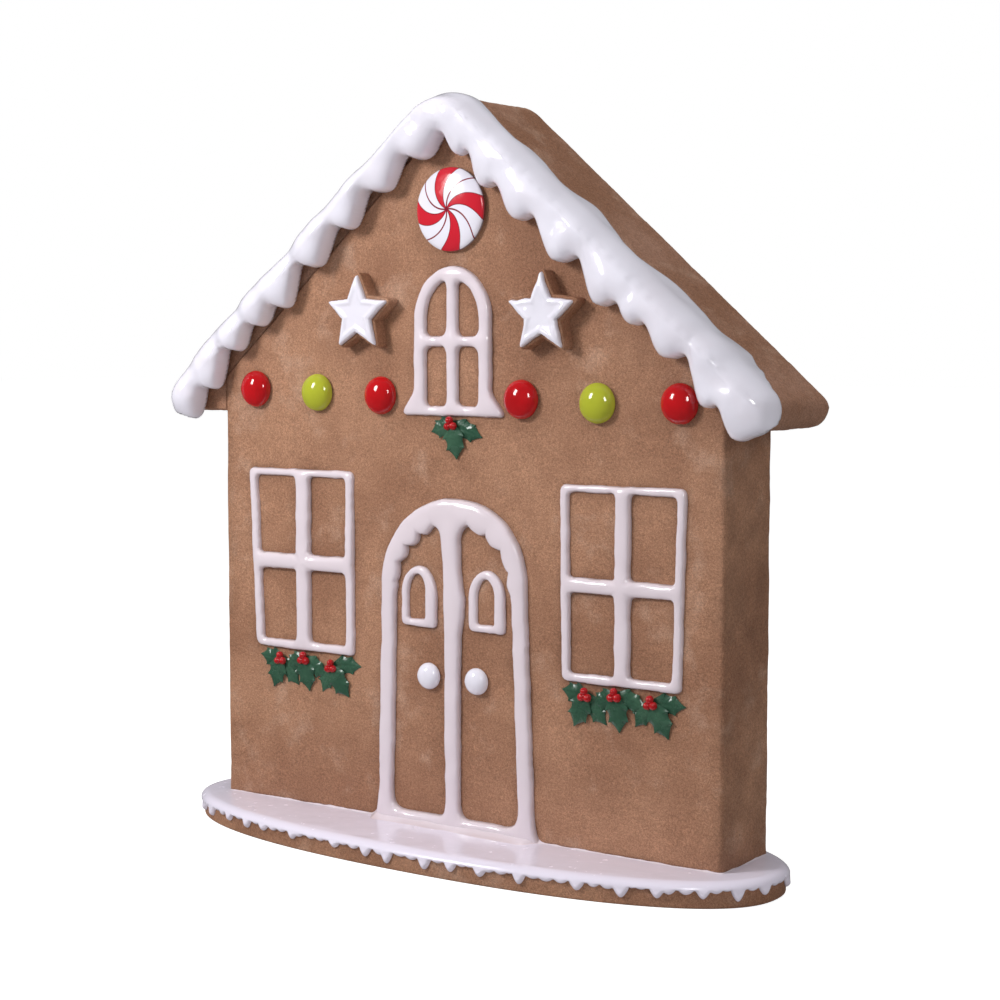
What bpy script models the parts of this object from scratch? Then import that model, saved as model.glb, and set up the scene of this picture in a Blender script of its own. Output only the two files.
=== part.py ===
"""Gingerbread house display piece: a shallow house front on an oval, snow-covered base.

Units are metres, +Z is up. The origin is the middle of the base's underside, the house
faces -Y, and +X is to the right for someone who looks at the front. Every piece is one
closed solid, and neighbouring pieces keep GAP between them.
"""

import math

import bmesh
import bpy
from mathutils import Vector

GAP = 0.0003

# Base and snow
BASE_LENGTH = 1.108
BASE_DEPTH = 0.392
BASE_HEIGHT = 0.030
BASE_POWER = 2.3          # exponent of the oval: 2 is an ellipse, more is squarer
BASE_EDGE = 0.003
SNOW_TOP = 0.040
SNOW_LIP = 0.006          # how far the snow stands out past the base's side
SNOW_ROUND = 0.014        # rounding of the snow's rim, inwards
SKIRT_LOW = 0.020         # height of the skirt's lower edge, on average
SKIRT_WAVE = 0.0040
SKIRT_SCALLOPS = 32
BASE_STEPS = 72
SNOW_STEPS = 128

# Wall
WALL_WIDTH = 0.980
WALL_DEPTH = 0.144
WALL_FRONT = -0.0515      # y of the front face
WALL_CORNER = 0.007

# Roof: an upside-down V whose top planes meet, unrounded, at ROOF_CREST
ROOF_CREST = 1.226
ROOF_PITCH = math.radians(40.9)
ROOF_THICK = 0.032
ROOF_REACH = 0.570        # x of the eave's tip
ROOF_FRONT = WALL_FRONT + 0.003
ROOF_BACK = WALL_FRONT + 0.172
RIDGE_RADIUS = 0.076
EAVE_RADIUS = 0.021       # rounding of the eave's upper corner
# Rounding of the eave's lower corner, above a level underside, at each side
EAVE_FOOT_RADIUS = {"left": 0.0215, "right": 0.031}
ROOF_EDGE = 0.005

# Icing along the roof's front edge
ICING_FRONT = 0.051       # thickness in front of the wall's face
ICING_TOP_RIDGE = 0.006   # thickness on the roof's top at the ridge
ICING_TOP_GROWTH = 0.030  # and how much it grows for each metre towards the eave
ICING_GAP = 0.0008        # over the roof's top, where both surfaces are curved
ICING_BACK = 0.035        # how far it reaches back over the roof, on average
ICING_BACK_WAVE = 0.013
ICING_BACK_PITCH = 0.160  # length of that wave
ICING_TAPER = 0.500       # x from which it reaches back less and less
ICING_TAPER_POWER = 1.6
ICING_TAPER_LEAST = 0.12
ICING_END = 0.588         # x where it ends, past the eave's tip
ICING_BALL = 0.037        # radius of the round blob at each end
# Steps of the icing's lower edge, from the ridge to the eave: x, and the height over the foot
ICING_STEPS = (
    (0.000, 1.104), (0.058, 1.070), (0.118, 1.016), (0.190, 0.965), (0.271, 0.903),
    (0.335, 0.834), (0.383, 0.804), (0.449, 0.757), (0.503, 0.690), (0.554, 0.644),
)
ICING_STEP_POWER = 2.6
ICING_STATIONS_PER_STEP = 5
# The icing's section, as shares of its thickness in front and on top
ICING_LIP = 0.70          # how far the lower edge stands out
ICING_BELLY = 0.50        # height of the fullest part above the lower edge
ICING_SHOULDER = 0.86     # thickness at the level of the roof's top
ICING_CORNER = 0.40       # how far the top's front corner stands out
ICING_HIP = 0.30          # where the top starts to thin towards the back

# Round sweets on the front: x, height over the foot, radius, depth
MINT = (0.0, 0.987, 0.066, 0.017)
MINT_RIM = 0.005
DOME_RINGS = 4
BUTTONS = (
    (-0.4150, 0.7003), (-0.2788, 0.6961), (-0.1442, 0.6933),
    (0.1336, 0.6912), (0.2733, 0.6880), (0.4160, 0.6898),
)
BUTTON_RADIUS = 0.031
BUTTON_DEPTH = 0.023
KNOB_X = 0.0475
KNOB_HEIGHT = 0.243
KNOB_RADIUS = 0.0215
KNOB_DEPTH = 0.017

# Stars
STAR_X = {"left": -0.174, "right": 0.1857}
STAR_HEIGHT = 0.824
STAR_RADIUS = 0.064
STAR_WAIST = 0.46         # inner radius over outer radius
STAR_RIM = 0.004          # how much the cookie shows round its icing
STAR_COOKIE_DEPTH = 0.025
STAR_ICING_DEPTH = 0.006
STAR_TIP_RADIUS = 0.006

# Icing frames, all of one bead depth
BEAD_DEPTH = 0.013
BEAD_ROUND = 0.005
WINDOW_INNER = 0.205
WINDOW_OUTER_TOP = 0.431
WINDOW_OUTER_BOTTOM = 0.420
WINDOW_TOPS = {"left": 0.5665, "right": 0.562}
WINDOW_BOTTOM = 0.260
WINDOW_MULLION_X = 0.3165
WINDOW_CROSSBAR = 0.410
WINDOW_SIDE_BAR = 0.018
WINDOW_TOP_BAR = 0.014
WINDOW_BOTTOM_BAR = 0.018
WINDOW_MULLION = 0.027
WINDOW_CROSS = 0.026
PANE_ROUND = 0.007

UPPER_HALF = 0.073
UPPER_FOOT_HALF = 0.099
UPPER_FOOT_FLARE = 0.030
UPPER_SPRING = 0.815
UPPER_TOP = 0.899
UPPER_CROSS = 0.7805
UPPER_BOTTOM = 0.662
UPPER_BAR = 0.020
UPPER_CROSS_BAR = 0.017

DOOR_FOOT_HALF = 0.155
DOOR_SPRING_HALF = 0.143
DOOR_SPRING = 0.392
DOOR_TOP = 0.532
DOOR_JAMB = 0.028
DOOR_LINTEL = 0.038
DOOR_CENTRE_BAR = 0.030
DOOR_SILL = 0.018
DOOR_ARCH_STEPS = 12

DOOR_PANE_X = 0.0675
DOOR_PANE_HALF = 0.034
DOOR_PANE_BOTTOM = 0.320
DOOR_PANE_SPRING = 0.380
DOOR_PANE_TOP = 0.421
DOOR_PANE_BAR = 0.017

# Holly
LEAF_LENGTH = 0.056
LEAF_HALF_WIDTH = 0.0175
LEAF_CROWN = 0.0023       # thickness along the leaf's midrib
LEAF_LAYER = 0.0026       # spacing of the leaves that lie over each other
# Half width along a leaf: place along it, and share of LEAF_HALF_WIDTH
LEAF_WIDTHS = (
    (0.08, 0.30), (0.20, 0.72), (0.36, 1.00), (0.45, 0.74), (0.66, 0.92),
    (0.76, 0.44), (0.90, 0.18), (1.00, 0.02),
)
# The three leaves of a sprig: angle from the middle one in degrees, length, half width
SPRIG = ((-74.0, 0.82, 0.80), (0.0, 1.0, 1.0), (63.0, 1.0, 0.80))
SPRIG_DIRECTION = 277.0
BERRY_RADIUS = 0.0070
BERRY_SPREAD = 0.0062     # from the cluster's middle to each berry's
BERRY_SINK = 0.0020       # from each berry's middle to the cluster's flat back
# Sprigs under a lower window: x from its middle, height over its foot, turn in degrees
GARLAND = ((-0.056, -0.0175, -31.0), (-0.004, -0.013, 0.0), (0.058, -0.019, 22.0))
UPPER_SPRIG_DROP = 0.014

COLOURS = {
    "gingerbread": ((0.31, 0.165, 0.085), 0.75),
    "icing": ((0.86, 0.84, 0.88), 0.18),
    "snow": ((0.72, 0.70, 0.74), 0.30),
    "red": ((0.55, 0.008, 0.012), 0.12),
    "lime": ((0.42, 0.50, 0.03), 0.12),
    "holly": ((0.02, 0.11, 0.055), 0.22),
}


def material(name):
    """The named finish, made once: a Principled BSDF with its colour and roughness."""
    found = bpy.data.materials.get(name)
    if found:
        return found
    colour, roughness = COLOURS[name]
    made = bpy.data.materials.new(name)
    made.use_nodes = True
    shader = made.node_tree.nodes["Principled BSDF"]
    shader.inputs["Base Color"].default_value = (*colour, 1.0)
    shader.inputs["Roughness"].default_value = roughness
    shader.inputs["Metallic"].default_value = 0.0
    return made


def clear_scene():
    for obj in list(bpy.data.objects):
        bpy.data.objects.remove(obj)


def add_object(name, data, finish):
    """An object of this mesh or curve, with its own copy of the finish."""
    own = material(finish).copy()
    own.name = name + "_finish"
    data.materials.append(own)
    obj = bpy.data.objects.new(name, data)
    bpy.context.scene.collection.objects.link(obj)
    return obj


def mesh_from(name, work, finish, smooth_angle=40.0):
    """An object from a bmesh, its faces turned outwards and its round parts smooth."""
    bmesh.ops.recalc_face_normals(work, faces=work.faces[:])
    data = bpy.data.meshes.new(name)
    work.to_mesh(data)
    work.free()
    data.shade_smooth()
    data.set_sharp_from_angle(angle=math.radians(smooth_angle))
    return add_object(name, data, finish)


def loft(name, rings, finish):
    """A solid skinned over closed rings of points, with a cap on the first and the last."""
    work = bmesh.new()
    made = [[work.verts.new(point) for point in ring] for ring in rings]
    count = len(rings[0])
    for low, high in zip(made, made[1:]):
        for i in range(count):
            j = (i + 1) % count
            work.faces.new((low[i], low[j], high[j], high[i]))
    work.faces.new(made[0])
    work.faces.new(made[-1])
    return mesh_from(name, work, finish)


def prism(name, outline, y_front, y_back, finish, edge=0.0, upright_only=False):
    """A solid between two copies of an outline of (x, z) points, its edges bevelled by edge.

    With upright_only, only the edges along Z are bevelled.
    """
    work = bmesh.new()
    face = work.faces.new([work.verts.new((x, y_front, z)) for x, z in outline])
    pushed = bmesh.ops.extrude_face_region(work, geom=[face])
    moved = [item for item in pushed["geom"] if isinstance(item, bmesh.types.BMVert)]
    bmesh.ops.translate(work, verts=moved, vec=(0.0, y_back - y_front, 0.0))
    if edge:
        chosen = []
        for line in work.edges:
            along = (line.verts[1].co - line.verts[0].co).normalized()
            if upright_only and abs(along.z) > 0.99:
                chosen.append(line)
            if not upright_only and abs(along.y) < 0.5:
                chosen.append(line)
        bmesh.ops.bevel(
            work, geom=chosen, offset=edge, segments=2, profile=0.5, affect="EDGES",
            clamp_overlap=True,
        )
    return mesh_from(name, work, finish)


def turned(name, profile, x, z, finish, steps=16):
    """A solid of revolution that stands out of the wall: profile is (radius, depth) points."""
    work = bmesh.new()
    points = [work.verts.new((radius, -depth, 0.0)) for radius, depth in profile]
    lines = [work.edges.new(pair) for pair in zip(points, points[1:])]
    bmesh.ops.spin(
        work, geom=points + lines, axis=(0.0, 1.0, 0.0), cent=(0.0, 0.0, 0.0),
        angle=2.0 * math.pi, steps=steps, use_merge=True,
    )
    bmesh.ops.remove_doubles(work, verts=work.verts[:], dist=0.00001)
    bmesh.ops.translate(work, verts=work.verts[:], vec=(x, WALL_FRONT - GAP, SNOW_TOP + z))
    return mesh_from(name, work, finish, smooth_angle=60.0)


def plate(name, outlines, finish, depth, edge, base=0.0):
    """A flat piece on the wall's front with rounded edges.

    outlines holds its outer line and then its holes, each a list of (x, height) points.
    base is how far its back stands out from the wall.
    """
    curve = bpy.data.curves.new(name, "CURVE")
    curve.dimensions = "2D"
    curve.fill_mode = "BOTH"
    curve.extrude = depth / 2.0 - edge
    curve.bevel_depth = edge
    curve.bevel_resolution = 0
    curve.offset = -edge
    for outline in outlines:
        spline = curve.splines.new("POLY")
        spline.points.add(len(outline) - 1)
        for point, (x, z) in zip(spline.points, outline):
            point.co = (x, z, 0.0, 1.0)
        spline.use_cyclic_u = True
    drawn = bpy.data.objects.new(name, curve)
    bpy.context.scene.collection.objects.link(drawn)
    flat = bpy.data.meshes.new_from_object(
        drawn.evaluated_get(bpy.context.evaluated_depsgraph_get())
    )
    bpy.data.objects.remove(drawn)
    work = bmesh.new()
    work.from_mesh(flat)
    bmesh.ops.remove_doubles(work, verts=work.verts[:], dist=0.000005)
    middle = WALL_FRONT - GAP - base - depth / 2.0
    for vert in work.verts:
        x, z, out = vert.co
        vert.co = (x, middle - out, SNOW_TOP + z)
    return mesh_from(name, work, finish)


def rounded(corners, radius, steps=2):
    """The outline with each corner replaced by a short arc of about this radius."""
    made = []
    count = len(corners)
    for i, corner in enumerate(corners):
        here = Vector(corner)
        before = (Vector(corners[i - 1]) - here).normalized()
        after = (Vector(corners[(i + 1) % count]) - here).normalized()
        start = here + before * radius
        end = here + after * radius
        for k in range(steps + 1):
            t = k / steps
            point = start * (1 - t) ** 2 + here * 2 * t * (1 - t) + end * t ** 2
            made.append((point.x, point.y))
    return made


def mirrored(outline):
    """The outline on the other side of the middle, still in the same turning sense."""
    return [(-x, z) for x, z in reversed(outline)]


def oval(inset, height, steps):
    """Points round the base's outline, made smaller by inset; height is a number or a function."""
    half_length = BASE_LENGTH / 2.0 - inset
    half_depth = BASE_DEPTH / 2.0 - inset
    ring = []
    for k in range(steps):
        angle = 2.0 * math.pi * k / steps
        c, s = math.cos(angle), math.sin(angle)
        x = math.copysign(half_length * abs(c) ** (2.0 / BASE_POWER), c)
        y = math.copysign(half_depth * abs(s) ** (2.0 / BASE_POWER), s)
        z = height(angle) if callable(height) else height
        ring.append((x, y, z))
    return ring


def build_base():
    """The gingerbread board, and the snow that covers it and hangs over its side."""
    rings = [
        oval(BASE_EDGE, 0.0, BASE_STEPS),
        oval(0.0, BASE_EDGE, BASE_STEPS),
        oval(0.0, BASE_HEIGHT, BASE_STEPS),
    ]
    loft("base", rings, "gingerbread")

    def skirt(angle):
        return SKIRT_LOW + SKIRT_WAVE * math.cos(SKIRT_SCALLOPS * angle)

    rings = [
        oval(SNOW_ROUND, SNOW_TOP, SNOW_STEPS),
        oval(0.0, SNOW_TOP - 0.3 * SNOW_ROUND, SNOW_STEPS),
        oval(-SNOW_LIP, SNOW_TOP - SNOW_ROUND, SNOW_STEPS),
        oval(-SNOW_LIP, skirt, SNOW_STEPS),
        oval(-GAP, skirt, SNOW_STEPS),
        oval(-GAP, BASE_HEIGHT + GAP, SNOW_STEPS),
    ]
    loft("base_icing", rings, "snow")


def roof_top(x):
    """Height of the roof's top surface: two planes with an arc at the ridge."""
    tangent = RIDGE_RADIUS * math.sin(ROOF_PITCH)
    if abs(x) < tangent:
        centre = ROOF_CREST - RIDGE_RADIUS / math.cos(ROOF_PITCH)
        return centre + math.sqrt(RIDGE_RADIUS ** 2 - x * x)
    return ROOF_CREST - abs(x) * math.tan(ROOF_PITCH)


def roof_underside(x):
    return ROOF_CREST - ROOF_THICK / math.cos(ROOF_PITCH) - abs(x) * math.tan(ROOF_PITCH)


def arc(centre, radius, start, end, steps):
    """Points on a circular arc from one angle to another, in degrees."""
    points = []
    for k in range(steps + 1):
        angle = math.radians(start + (end - start) * k / steps)
        points.append((centre[0] + radius * math.cos(angle), centre[1] + radius * math.sin(angle)))
    return points


def build_wall():
    """The house's body up to the roof, which it follows with a small gap."""
    half = WALL_WIDTH / 2.0
    foot = SNOW_TOP + GAP
    clear = 2.0 * GAP
    outline = [
        (-half, foot), (half, foot), (half, roof_underside(half) - clear),
        (0.0, roof_underside(0.0) - clear), (-half, roof_underside(half) - clear),
    ]
    prism(
        "wall", outline, WALL_FRONT, WALL_FRONT + WALL_DEPTH, "gingerbread",
        edge=WALL_CORNER, upright_only=True,
    )


def eave_outline(foot_radius):
    """The right-hand eave from the slope round its nose and along its underside."""
    pitch = math.degrees(ROOF_PITCH)
    tip_x = ROOF_REACH - EAVE_RADIUS
    height = roof_top(tip_x) - EAVE_RADIUS / math.cos(ROOF_PITCH)
    inner_x = WALL_WIDTH / 2.0 + GAP
    points = arc((tip_x, height), EAVE_RADIUS, 90.0 - pitch, 0.0, 3)
    points += arc((ROOF_REACH - foot_radius, height), foot_radius, 0.0, -90.0, 5)[1:]
    return points + [(inner_x, height - foot_radius), (inner_x, roof_underside(inner_x))]


def build_roof():
    """The V of the roof: an arc on the ridge, a boxed eave beside the wall on each side, and
    the sloping underside."""
    centre = (0.0, ROOF_CREST - RIDGE_RADIUS / math.cos(ROOF_PITCH))
    pitch = math.degrees(ROOF_PITCH)
    ridge = arc(centre, RIDGE_RADIUS, 90.0 + pitch, 90.0 - pitch, 10)
    right = eave_outline(EAVE_FOOT_RADIUS["right"])
    left = mirrored(eave_outline(EAVE_FOOT_RADIUS["left"]))
    outline = ridge + right + [(0.0, roof_underside(0.0))] + left
    prism("roof", outline, ROOF_FRONT, ROOF_BACK, "gingerbread", edge=ROOF_EDGE)


def icing_edge(x):
    """Height of the roof icing's lower edge.

    From each step's start the edge falls fast and then levels out, so that the icing hangs
    in drips; past the last step it is the lower half of a ball.
    """
    x = abs(x)
    last_x, last_height = ICING_STEPS[-1]
    if x >= ICING_END - ICING_BALL:
        across = min(abs(x - (ICING_END - ICING_BALL)) / ICING_BALL, 1.0)
        return SNOW_TOP + last_height + ICING_BALL * (1.0 - math.sqrt(1.0 - across * across))
    for (x0, z0), (x1, z1) in zip(ICING_STEPS, ICING_STEPS[1:]):
        if x <= x1:
            part = (x - x0) / (x1 - x0)
            return SNOW_TOP + z0 + (z1 - z0) * (1.0 - (1.0 - part) ** ICING_STEP_POWER)
    return SNOW_TOP + last_height


def icing_section(x):
    """The closed section of the roof icing at x: an L over the roof's front top edge."""
    low = icing_edge(x)
    top = roof_top(x) + ICING_GAP
    front = WALL_FRONT - GAP
    ball_x = ICING_END - ICING_BALL
    swell = 1.0
    if abs(x) > ball_x:
        swell = math.sqrt(max(1.0 - ((abs(x) - ball_x) / ICING_BALL) ** 2, 0.0))
    thick = ICING_FRONT * (0.25 + 0.75 * swell)
    over = (ICING_TOP_RIDGE + ICING_TOP_GROWTH * abs(x)) * (0.3 + 0.7 * swell)
    reach = ICING_BACK + ICING_BACK_WAVE * math.cos(2.0 * math.pi * abs(x) / ICING_BACK_PITCH)
    past = max(abs(x) - ICING_TAPER, 0.0) / (ICING_END - ICING_TAPER)
    back = front + reach * max(1.0 - past ** ICING_TAPER_POWER, ICING_TAPER_LEAST)
    top = min(top, low + 0.001 + 2.0 * ICING_BALL * max(swell, 0.05)) if swell < 1.0 else top
    height = top - low
    section = [
        (front, low),
        (front - ICING_LIP * thick, low),
        (front - thick, low + min(ICING_BELLY * thick, 0.4 * height)),
        (front - ICING_SHOULDER * thick, top),
        (front - ICING_CORNER * thick, top + over),
        (back - ICING_HIP * (back - front), top + 0.9 * over),
        (back, top),
        (front, top),
    ]
    return [(x, y, z) for y, z in section]


def build_roof_icing():
    """The icing along the roof's front edge, with its stepped drips and its round ends."""
    stations = []
    for (x0, _), (x1, _) in zip(ICING_STEPS, ICING_STEPS[1:]):
        for k in range(ICING_STATIONS_PER_STEP):
            part = (k / ICING_STATIONS_PER_STEP) ** 1.5
            stations.append(x0 + (x1 - x0) * part)
    ball_x = ICING_END - ICING_BALL
    stations = [x for x in stations if x < ball_x - 0.002]
    for k in range(7):
        stations.append(ball_x + ICING_BALL * math.sin(math.pi / 2.0 * k / 6.0))
    both = [-x for x in reversed(stations[1:])] + stations
    loft("roof_icing", [icing_section(x) for x in both], "icing")


def dome_profile(radius, depth, rim=0.0):
    """Half an ellipse of this radius and depth, on a rim, from the back's middle round."""
    profile = [(0.0, 0.0), (radius, 0.0)]
    for k in range(DOME_RINGS):
        angle = math.pi / 2.0 * k / DOME_RINGS
        height = rim + (depth - rim) * math.sin(angle)
        if height > 0.0:
            profile.append((radius * math.cos(angle), height))
    profile.append((0.0, depth))
    return profile


def build_sweets():
    """The peppermint in the gable, the six buttons and the two door knobs."""
    x, z, radius, depth = MINT
    turned("peppermint", dome_profile(radius, depth, MINT_RIM), x, z, "icing", steps=28)
    finishes = ("red", "lime", "red") * 2
    for number, ((x, z), finish) in enumerate(zip(BUTTONS, finishes), start=1):
        profile = dome_profile(BUTTON_RADIUS, BUTTON_DEPTH)
        turned(f"button_{number}", profile, x, z, finish)
    for side, x in (("left", -KNOB_X), ("right", KNOB_X)):
        profile = dome_profile(KNOB_RADIUS, KNOB_DEPTH)
        turned(f"door_knob_{side}", profile, x, KNOB_HEIGHT, "icing")


def star(x, z, radius):
    """A five-pointed star's outline with rounded tips."""
    corners = []
    for k in range(10):
        reach = radius if k % 2 == 0 else radius * STAR_WAIST
        angle = math.radians(90.0 + 36.0 * k)
        corners.append((x + reach * math.cos(angle), z + reach * math.sin(angle)))
    return rounded(corners, STAR_TIP_RADIUS)


def build_stars():
    """Each star is a thick cookie with a thinner star of icing on it."""
    for side, x in STAR_X.items():
        cookie = star(x, STAR_HEIGHT, STAR_RADIUS + 2.0 * STAR_RIM)
        plate(f"star_cookie_{side}", [cookie], "gingerbread", STAR_COOKIE_DEPTH, 0.003)
        icing = star(x, STAR_HEIGHT, STAR_RADIUS)
        plate(
            f"star_icing_{side}", [icing], "icing", STAR_ICING_DEPTH, 0.0022,
            base=STAR_COOKIE_DEPTH + GAP,
        )


def window_outlines(top):
    """The outer line and the four panes of a right-hand window whose top is at this height."""
    outer = rounded([
        (WINDOW_INNER, WINDOW_BOTTOM), (WINDOW_OUTER_BOTTOM, WINDOW_BOTTOM),
        (WINDOW_OUTER_TOP, top), (WINDOW_INNER, top),
    ], PANE_ROUND)

    def outer_x(height):
        rise = (height - WINDOW_BOTTOM) / (top - WINDOW_BOTTOM)
        return WINDOW_OUTER_BOTTOM + rise * (WINDOW_OUTER_TOP - WINDOW_OUTER_BOTTOM)

    rows = (
        (WINDOW_BOTTOM + WINDOW_BOTTOM_BAR, WINDOW_CROSSBAR - WINDOW_CROSS / 2.0),
        (WINDOW_CROSSBAR + WINDOW_CROSS / 2.0, top - WINDOW_TOP_BAR),
    )
    panes = []
    for low, high in rows:
        start = WINDOW_INNER + WINDOW_SIDE_BAR
        middle = WINDOW_MULLION_X - WINDOW_MULLION / 2.0
        panes.append([(start, low), (middle, low), (middle, high), (start, high)])
        start = WINDOW_MULLION_X + WINDOW_MULLION / 2.0
        panes.append([
            (start, low), (outer_x(low) - WINDOW_SIDE_BAR, low),
            (outer_x(high) - WINDOW_SIDE_BAR, high), (start, high),
        ])
    return [outer] + [rounded(pane, PANE_ROUND) for pane in panes]


def build_windows():
    """The two windows beside the door and the arched one over it."""
    outlines = window_outlines(WINDOW_TOPS["right"])
    plate("right_window", outlines, "icing", BEAD_DEPTH, BEAD_ROUND)
    outlines = [mirrored(line) for line in window_outlines(WINDOW_TOPS["left"])]
    plate("left_window", outlines, "icing", BEAD_DEPTH, BEAD_ROUND)

    crown = arc((0.0, 0.0), 1.0, 0.0, 180.0, DOOR_ARCH_STEPS)
    rise = UPPER_TOP - UPPER_SPRING
    outer = [(-UPPER_FOOT_HALF, UPPER_BOTTOM), (UPPER_FOOT_HALF, UPPER_BOTTOM)]
    outer += [(UPPER_HALF + 0.006, UPPER_BOTTOM + UPPER_FOOT_FLARE)]
    outer += [(UPPER_HALF * x, UPPER_SPRING + rise * z) for x, z in crown]
    outer += [(-UPPER_HALF - 0.006, UPPER_BOTTOM + UPPER_FOOT_FLARE)]
    half = UPPER_HALF - UPPER_BAR
    inner_rise = rise - UPPER_BAR
    start = UPPER_BAR / 2.0
    low = UPPER_CROSS + UPPER_CROSS_BAR / 2.0
    quarter = []
    for k in range(6):
        x = half + (start - half) * k / 5.0
        quarter.append((x, UPPER_SPRING + inner_rise * math.sqrt(1.0 - (x / half) ** 2)))
    upper_pane = [(start, low), (half, low)] + quarter
    bottom = UPPER_BOTTOM + UPPER_CROSS_BAR
    high = UPPER_CROSS - UPPER_CROSS_BAR / 2.0
    lower_pane = [(start, bottom), (half, bottom), (half, high), (start, high)]
    lower_pane = rounded(lower_pane, PANE_ROUND)
    holes = [upper_pane, lower_pane, mirrored(upper_pane), mirrored(lower_pane)]
    plate("upper_window", [outer] + holes, "icing", BEAD_DEPTH, BEAD_ROUND - 0.001)


def build_door():
    """The arched door frame with its centre bar and sill, and the two small panes in it."""
    foot = 2.0 * GAP
    crown = arc((0.0, 0.0), 1.0, 0.0, 180.0, 2 * DOOR_ARCH_STEPS)
    outer = [(-DOOR_FOOT_HALF, foot), (DOOR_FOOT_HALF, foot)]
    outer += [
        (DOOR_SPRING_HALF * x, DOOR_SPRING + (DOOR_TOP - DOOR_SPRING) * z) for x, z in crown
    ]
    half = DOOR_SPRING_HALF - DOOR_JAMB
    top = DOOR_TOP - DOOR_LINTEL
    start = DOOR_CENTRE_BAR / 2.0
    panel = [(start, DOOR_SILL), (DOOR_FOOT_HALF - DOOR_JAMB, DOOR_SILL)]
    for k in range(DOOR_ARCH_STEPS):
        x = half + (start - half) * (k / (DOOR_ARCH_STEPS - 1.0))
        panel.append((x, DOOR_SPRING + (top - DOOR_SPRING) * math.sqrt(1.0 - (x / half) ** 2)))
    plate(
        "door_frame", [outer, panel, mirrored(panel)], "icing", BEAD_DEPTH, BEAD_ROUND,
    )
    for side, sign in (("left", -1.0), ("right", 1.0)):
        rings = []
        for inset in (0.0, DOOR_PANE_BAR):
            half = DOOR_PANE_HALF - inset
            rise = DOOR_PANE_TOP - inset - DOOR_PANE_SPRING
            low = DOOR_PANE_BOTTOM + inset
            ring = [(-half, low), (half, low)]
            ring += [
                (half * x, DOOR_PANE_SPRING + rise * z)
                for x, z in arc((0.0, 0.0), 1.0, 0.0, 180.0, 8)
            ]
            rings.append([(sign * DOOR_PANE_X + x, z) for x, z in ring])
        plate(f"door_window_{side}", rings, "icing", BEAD_DEPTH - 0.003, BEAD_ROUND - 0.001)


def build_leaf(name, x, z, angle, length, half_width, layer):
    """A holly leaf: spiny edges, a flat back and a crown along its midrib."""
    along = Vector((math.cos(angle), 0.0, math.sin(angle)))
    across = Vector((-math.sin(angle), 0.0, math.cos(angle)))
    out = Vector((0.0, -1.0, 0.0))
    origin = Vector((x, WALL_FRONT - GAP - layer * LEAF_LAYER, SNOW_TOP + z))
    rings = []
    for place, share in LEAF_WIDTHS:
        middle = origin + along * (length * place)
        half = across * (half_width * share)
        rings.append([middle + half, middle - half, middle + out * LEAF_CROWN])
    loft(name, rings, "holly")


def build_berries(name, x, z):
    """Three berries grown into one: the surface of three overlapping balls, flat behind."""
    centres = []
    for k in range(3):
        angle = math.radians(90.0 + 120.0 * k)
        centres.append(Vector((math.cos(angle), 0.0, math.sin(angle))) * BERRY_SPREAD)
    work = bmesh.new()
    bmesh.ops.create_icosphere(work, subdivisions=2, radius=1.0)
    for vert in work.verts:
        ray = vert.co.normalized()
        reach = 0.0
        for centre in centres:
            near = ray.dot(centre)
            apart = centre.length_squared - near * near
            if apart < BERRY_RADIUS ** 2:
                reach = max(reach, near + math.sqrt(BERRY_RADIUS ** 2 - apart))
        vert.co = ray * reach
        vert.co.y = min(vert.co.y, BERRY_SINK)
    middle = WALL_FRONT - GAP - 3.0 * LEAF_LAYER - BERRY_SINK
    bmesh.ops.translate(work, verts=work.verts[:], vec=(x, middle, SNOW_TOP + z))
    mesh_from(name, work, "red", smooth_angle=50.0)


def build_sprig(name, x, z, turn, side_layer):
    """Three leaves that spread from a cluster of berries; turn is the sprig's own turn."""
    for number, (spread, length, width) in enumerate(SPRIG, start=1):
        angle = math.radians(SPRIG_DIRECTION + turn + spread)
        build_leaf(
            f"{name}_leaf_{number}", x, z, angle, LEAF_LENGTH * length,
            LEAF_HALF_WIDTH * width, 2 if number == 2 else side_layer,
        )
    build_berries(f"{name}_berries", x, z)


def build_holly():
    """A sprig under the upper window and a garland of three under each lower window."""
    build_sprig("holly_upper", 0.0, UPPER_BOTTOM - UPPER_SPRIG_DROP, 0.0, 0)
    for side, sign in (("left", -1.0), ("right", 1.0)):
        for number, (x, z, turn) in enumerate(GARLAND, start=1):
            side_layer = 1 if number == 2 else 0
            name = f"holly_{side}_{number}"
            build_sprig(name, sign * WINDOW_MULLION_X + x, WINDOW_BOTTOM + z, turn, side_layer)


def main():
    clear_scene()
    bpy.context.scene.unit_settings.scale_length = 1.0
    build_base()
    build_wall()
    build_roof()
    build_roof_icing()
    build_sweets()
    build_stars()
    build_windows()
    build_door()
    build_holly()


main()
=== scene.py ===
"""Looks of the gingerbread house display piece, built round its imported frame.

Units are metres and +Z is up. The house faces -Y. Each new piece is a surface worked out
with numpy: a height over a flat region, a ring carried along an axis, or a turned profile.
"""

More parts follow.
